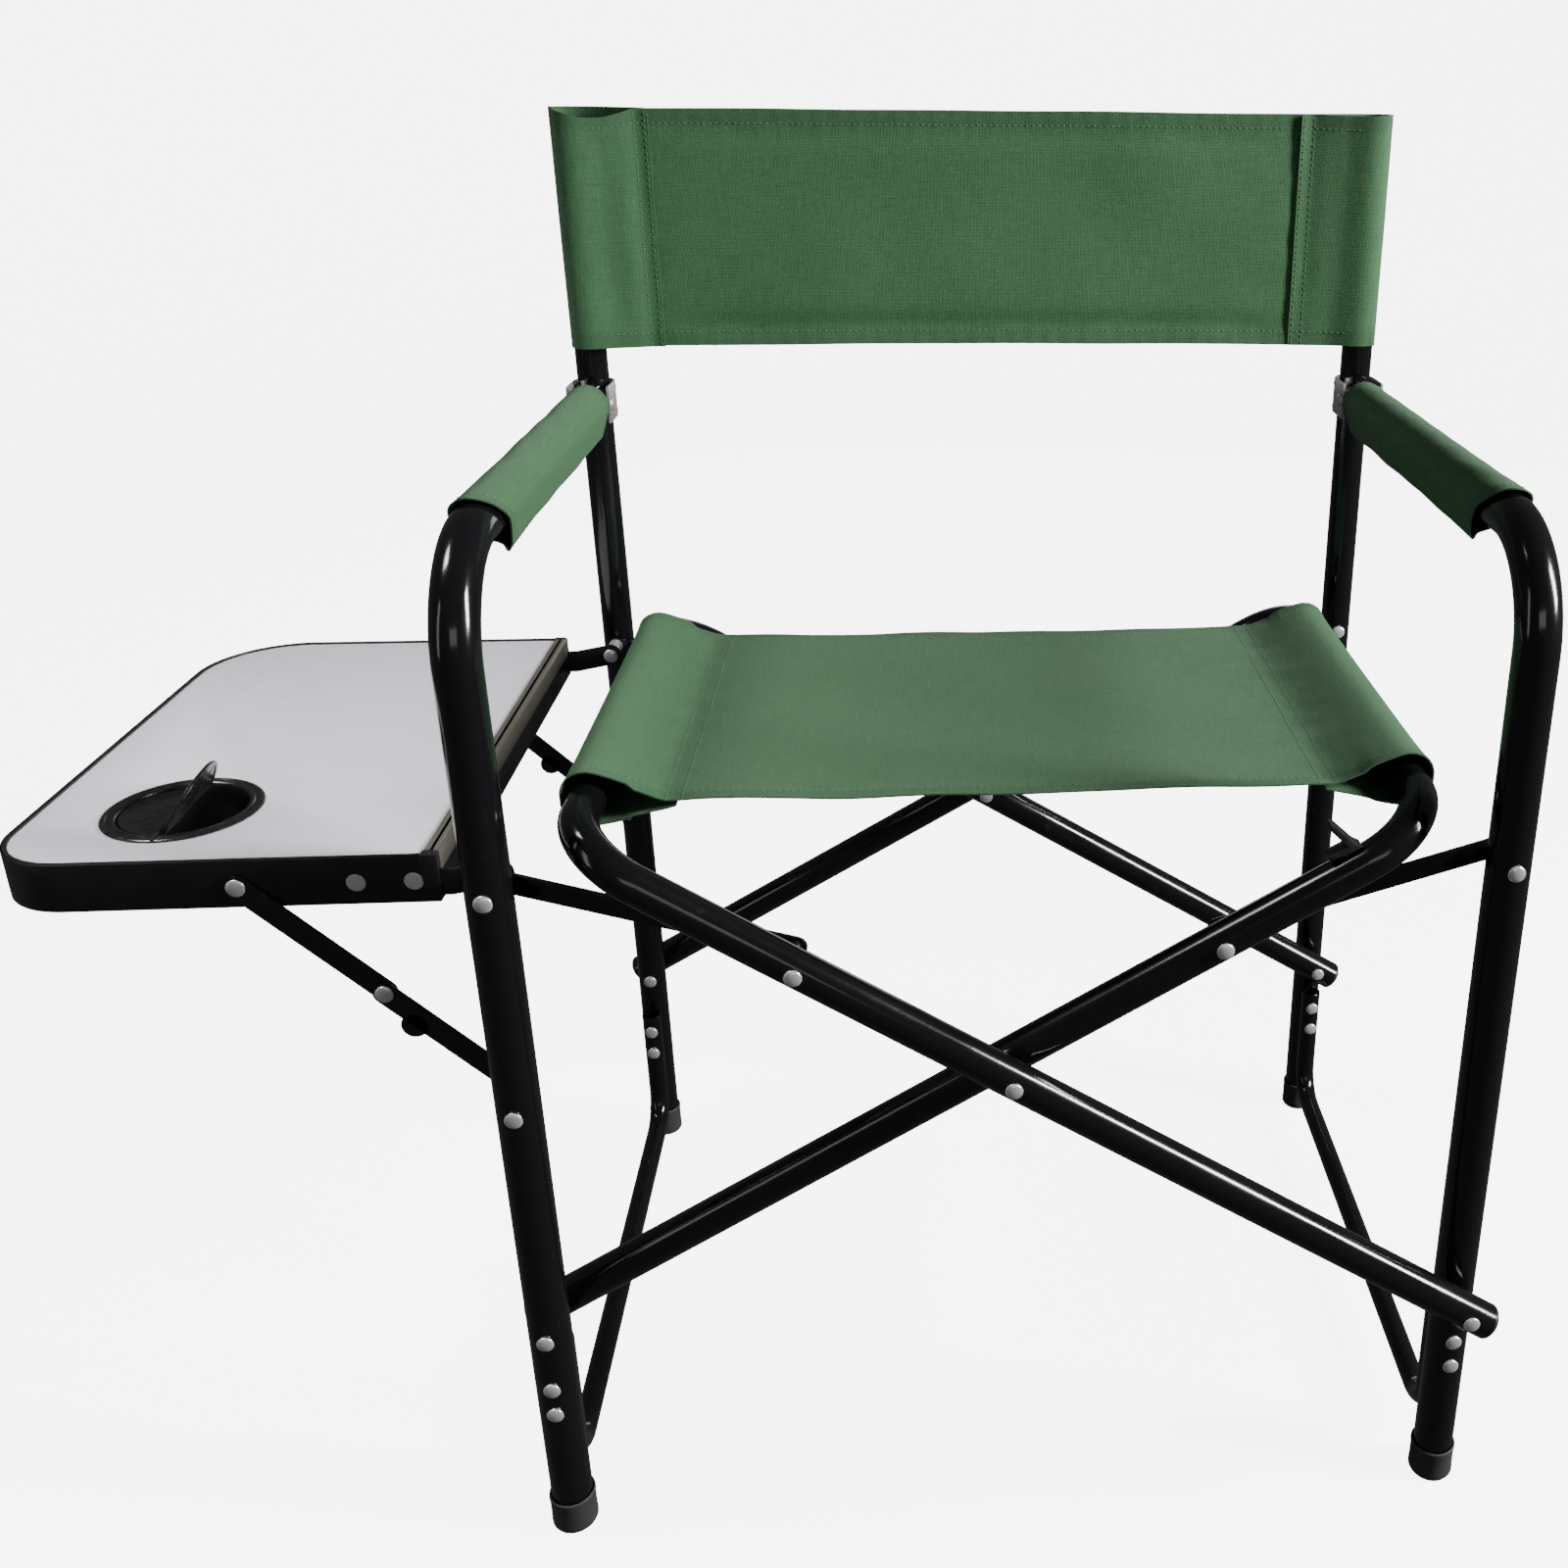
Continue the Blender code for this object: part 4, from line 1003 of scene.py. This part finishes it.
def all_rivets():
    for end in ("front", "rear"):
        for side in ("left", "right"):
            cad_rivet(f"lower_pivot_{end}_{side}", side + "_frame")
        cad_rivet("cross_pivot_" + end, "x_frame_b")
        cad_rivet("brace_pin_" + end, "table", head_h=BRACE_HEAD_H)
        for letter in "ab":
            cad_rivet(f"link_pin_{end}_{letter}", "x_frame_" + letter, tail=False)
    cad_rivet("link_pivot_rear_right", "right_frame")
    for place, low, high in (
            ("front_left", chair_y("link_front_left", 1), chair_y("table_bracket_front", 0)),
            ("rear_left", chair_y("table_bracket_rear", 1), chair_y("link_rear_left", 0)),
            ("front_right", LEG_R + GAP, chair_y("link_front_right", 0))):
        cad_rivet("link_pivot_" + place, place.split("_")[1] + "_frame", spacers=[(low, high)])
    cad_rivet("knee_pin_front", "lower_braces", tail=False, head_h=BRACE_HEAD_H)
    cad_rivet("knee_pin_rear", "lower_braces", head=False, head_h=BRACE_HEAD_H)
    front_sleeve = (LEG_R + GAP, chair_y("lower_brace_front", 0))
    rear_sleeve = (chair_y("lower_brace_rear", 1), DEPTH - POST_R - GAP)
    cad_rivet("brace_pivot_front", "left_frame", tail=False, spacers=[front_sleeve],
              head_h=BRACE_HEAD_H)
    cad_rivet("brace_pivot_rear", "left_frame", head=False, spacers=[rear_sleeve], head_h=BRACE_HEAD_H)
    for x in (-0.349, -0.319):
        rivet(f"bracket_rivet_front_{round(-x * 1000)}", x, BRACE_PIN[1], TABLE_FRONT,
              chair_y("table_bracket_front", 1), "table", head_h=FLUSH_HEAD_H)
        rivet(f"bracket_rivet_rear_{round(-x * 1000)}", x, BRACE_PIN[1],
              chair_y("table_bracket_rear", 0), TABLE_REAR, "table", head_h=FLUSH_HEAD_H)


# ---- side table
def table_outline(inset, right_inset):
    left, right = TABLE_LEFT + inset, TABLE_RIGHT - right_inset
    front, rear = TABLE_FRONT + inset, TABLE_REAR - inset
    front_r, rear_r = 0.042 - inset, 0.060 - inset
    return ([(right, front), (right, rear)]
            + arc((left + rear_r, rear - rear_r), rear_r, 90, 180, 18)
            + arc((left + front_r, front + front_r), front_r, 180, 270, 18))


def side_table():
    height = TABLE_TOP - TABLE_LOW
    apron = [plate_mesh([table_outline(0, 0), table_outline(APRON_T, EDGE_RAIL)],
                        height, level((TABLE_TOP + TABLE_LOW) / 2), 0.0005)]
    for z, reach in ((TABLE_TOP - 0.0004, RIM), (TABLE_LOW + 0.0006, 0.006)):
        apron.append(plate_mesh([table_outline(0.0002, 0.0002),
                                 table_outline(reach, EDGE_RAIL - 0.0004)],
                                0.0008, level(z), 0.0002))
    piece("apron", joined(apron), "table", BLACK_STEEL, ["table_frame"])
    edge_rail()

    thick = 0.006
    top = TABLE_TOP - 0.0010
    panel = plate_mesh([table_outline(APRON_T + GAP, EDGE_RAIL + GAP),
                        arc((CUP_X, CUP_Y), 0.0375, 0, 354, 59)],
                       thick, level(top - thick / 2), 0.0003)
    piece("table_panel", panel, "table", LAMINATE, ["table_top"])
    for end in ("front", "rear"):
        hinge_plate(end)
    cup_holder()


def edge_rail():
    """The rail along the chair's side: two raised bands with a groove between them."""
    right, w = TABLE_RIGHT, EDGE_RAIL
    z = TABLE_TOP + 0.0006
    section = [(right + across, z - drop) for across, drop in (
        (-w, 0.0012), (0.0006 - w, 0.0002), (-w * 0.62, 0.0001), (-w * 0.55, 0.0013),
        (-w * 0.42, 0.0013), (-w * 0.35, 0.0001), (-0.0008, 0.0002), (0.0003, 0.0012),
        (0.0003, 0.0120), (-0.0008, 0.0132), (-w, 0.0132))]
    front, rear = TABLE_FRONT + 0.0060, TABLE_REAR - 0.0035
    piece("edge_rail", standing_plate(section, front, rear, 0.0001), "table", EDGE_METAL)
    meshes = []
    for low, high in ((TABLE_FRONT - 0.0002, TABLE_FRONT + 0.0062),
                      (TABLE_REAR - 0.0038, TABLE_REAR + 0.0002)):
        cap = [(right - w - 0.0015, z - 0.0016), (right - w, z), (right - 0.0012, z),
               (right + 0.0003, z - 0.0014), (right + 0.0003, TABLE_LOW + 0.010),
               (right - 0.0010, TABLE_LOW + 0.0085), (right - w, TABLE_LOW + 0.0085)]
        meshes.append(standing_plate(cap, low, high))
    piece("edge_corners", joined(meshes), "table", PLASTIC)


def hinge_plate(end):
    """The plate under the panel that reaches out to the hinge on the leg."""
    node = "table_bracket_" + end
    low, high = TABLE_LOW + 0.003, TABLE_TOP - 0.0096
    hinge = (-HALF_WIDTH, LINK_Z)
    outline = ([(-0.360, low), (-0.300, low)] + arc(hinge, 0.008, -50, 110, 18)
               + [(-0.300, high), (-0.360, high)])
    plate = standing_plate(outline, chair_y(node, 0), chair_y(node, 1))
    piece(node + "_plate", plate, "table", BLACK_STEEL, [node])


def cup_holder():
    """A ring let into the panel, with a stepped rim and a short skirt, and two flaps."""
    low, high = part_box("cup_ring")
    flange = (high.x - low.x) / 2
    zero = TABLE_TOP - 0.0006
    skirt = low.z - zero
    profile = [(CUP_BORE + step, height) for step, height in (
        (0, skirt), (-0.0002, -0.0060), (0, -0.0010), (0.0006, 0.0004), (0.0016, 0.0012),
        (0.0030, 0.0013), (0.0036, 0.0006), (0.0048, 0.0006), (0.0054, 0.0012))]
    profile += [(flange - 0.0016, 0.0011), (flange - 0.0004, 0.0006), (flange, 0.0),
                (flange - 0.0004, -0.0003), (0.0366, -0.0003), (0.0366, skirt), (CUP_BORE, skirt)]
    ring = lathe_mesh(profile, Matrix.Translation(at(CUP_X, CUP_Y, zero)), 72)
    piece("cup_rim", ring, "table", CUP_PLASTIC, ["cup_ring"])
    tick = [(-0.0011, -0.0045), (0.0011, -0.0045), (0.0007, 0.0048), (-0.0007, 0.0048)]
    piece("cup_rim_tick",
          plate_mesh([tick], 0.0006,
                     Matrix.Translation(at(CUP_X, CUP_Y - flange + 0.0050,
                                           TABLE_TOP + 0.0007)), 0.0002), "table", PLASTIC)
    for side, sign, opened in (("left", -1, 0.0), ("right", 1, FLAP_OPEN)):
        cup_flap(side, sign, opened)


def mirrored(points, sign):
    """The points, or for -1 their mirror image with the same sense of turning."""
    return [(sign * x, y) for x, y in points][::sign]


def cup_flap(side, sign, opened):
    """A half-disc flap with a thicker rim and three ribs."""
    node = "cup_flap_" + side
    disc = mirrored(arc((0, 0), FLAP_R, -90, 90, 36), sign)
    inner = mirrored([(x + 0.0022, y) for x, y in arc((0, 0), FLAP_R - 0.0042, -86, 86, 36)], sign)
    hinge = HINGE[f"flap_{side}_hinge"]
    place = (Matrix.Translation(hinge) @ Matrix.Rotation(-opened * sign, 4, "Y")
             @ Matrix.Translation((sign * 0.0005, 0, 0)))
    meshes = [plate_mesh([disc], 0.0011, place, 0.0002),
              plate_mesh([disc, inner], 0.0016, place, 0.0003)]
    for lean in (-34, 0, 34):
        tip = Vector((math.cos(math.radians(lean)), math.sin(math.radians(lean))))
        side_way = Vector((-tip.y, tip.x)) * 0.0006
        root, end = tip * 0.006, tip * (FLAP_R - 0.003)
        rib = mirrored([tuple(p) for p in (root - side_way, end - side_way,
                                           end + side_way, root + side_way)], sign)
        meshes.append(plate_mesh([rib], 0.0015, place, 0.0002))
    piece(node + "_moulded", joined(meshes), f"flap_{side}", CUP_PLASTIC, [node])


# ---- the chair
side_frame("left")
side_frame("right")
crossed_tube("a", -1, A_FRONT, A_REAR)
fold_clip(crossed_tube("b", 1, B_FRONT, B_REAR))
links_and_braces()
all_rivets()
side_table()
seat()
back_pocket("left", "left_frame")
back_pocket("right", "right_frame")
back_panel()


# ---- floor, light and camera
def stage():
    """A pale round floor that turns up into a wall all round."""
    pale = Shader("pale_floor", (0.86, 0.86, 0.86), 0.9, Emission_Color=(1, 1, 1, 1),
                  Emission_Strength=6.0)
    pale.set("Base Color", pale.mix(pale.noise(2.0, 2.0), (0.85, 0.85, 0.85), (0.87, 0.87, 0.87)))
    reach, turn, wall = 4.2, 1.2, 5.0
    profile = [(0.0, 0.0), (reach - turn, 0.0)]
    profile += [(reach - turn + turn * math.sin(a), turn - turn * math.cos(a))
                for a in (math.radians(7.5 * i) for i in range(1, 13))]
    profile.append((reach, wall))
    mesh = lathe_mesh(profile, Matrix(), 96)
    mesh.flip_normals()
    mesh.materials.append(pale.material)
    mesh.shade_smooth()
    floor = in_scene("floor", mesh)
    floor.visible_glossy = False
    floor.visible_diffuse = False
    floor.visible_shadow = False


def area_light(name, place, target, size, power, spread=180):
    data = bpy.data.lights.new(name, "AREA")
    data.shape = "RECTANGLE"
    data.size, data.size_y = size
    data.energy = power
    data.spread = math.radians(spread)
    lamp = in_scene(name, data)
    lamp.location = place
    lamp.rotation_euler = (Vector(target) - Vector(place)).to_track_quat("-Z", "Y").to_euler()
    lamp.visible_camera = False


def lights():
    middle = (0.0, 0.05, 0.55)
    area_light("key", (2.3, -0.68, 1.52), middle, (0.45, 1.1), 142)
    area_light("table", (-1.3, -0.1, 2.2), (-0.5, 0.0, 0.45), (0.6, 0.6), 2.6, 36)
    area_light("fill", (-2.3, -1.3, 1.2), middle, (0.35, 1.6), 4)
    area_light("front", (0.3, -3.0, 1.5), middle, (1.6, 0.7), 5)
    area_light("rear", (0.5, 2.8, 0.7), middle, (1.6, 0.7), 6)
    world = bpy.data.worlds.new("studio")
    world.use_nodes = True
    background = world.node_tree.nodes["Background"]
    background.inputs["Color"].default_value = (1, 1, 1, 1)
    background.inputs["Strength"].default_value = 0.075
    bpy.context.scene.world = world


def camera():
    data = bpy.data.cameras.new("camera")
    data.sensor_width = 36
    data.lens = 36.72
    data.shift_x, data.shift_y = -0.1760, -0.0416
    eye = in_scene("camera", data)
    yaw, pitch, roll = 0.0874, -0.3887, 0.0122
    forward = Vector((math.sin(yaw) * math.cos(pitch), math.cos(yaw) * math.cos(pitch),
                      math.sin(pitch)))
    right = forward.cross(Vector((0, 0, 1))).normalized()
    up = right.cross(forward)
    tilted_right = right * math.cos(roll) + up * math.sin(roll)
    tilted_up = up * math.cos(roll) - right * math.sin(roll)
    turn = Matrix((tilted_right, tilted_up, -forward)).transposed()
    eye.matrix_world = (Matrix.Translation(at(-0.0420, -0.7646, 0.8513)) @ turn.to_4x4())
    bpy.context.scene.camera = eye


stage()
lights()
camera()
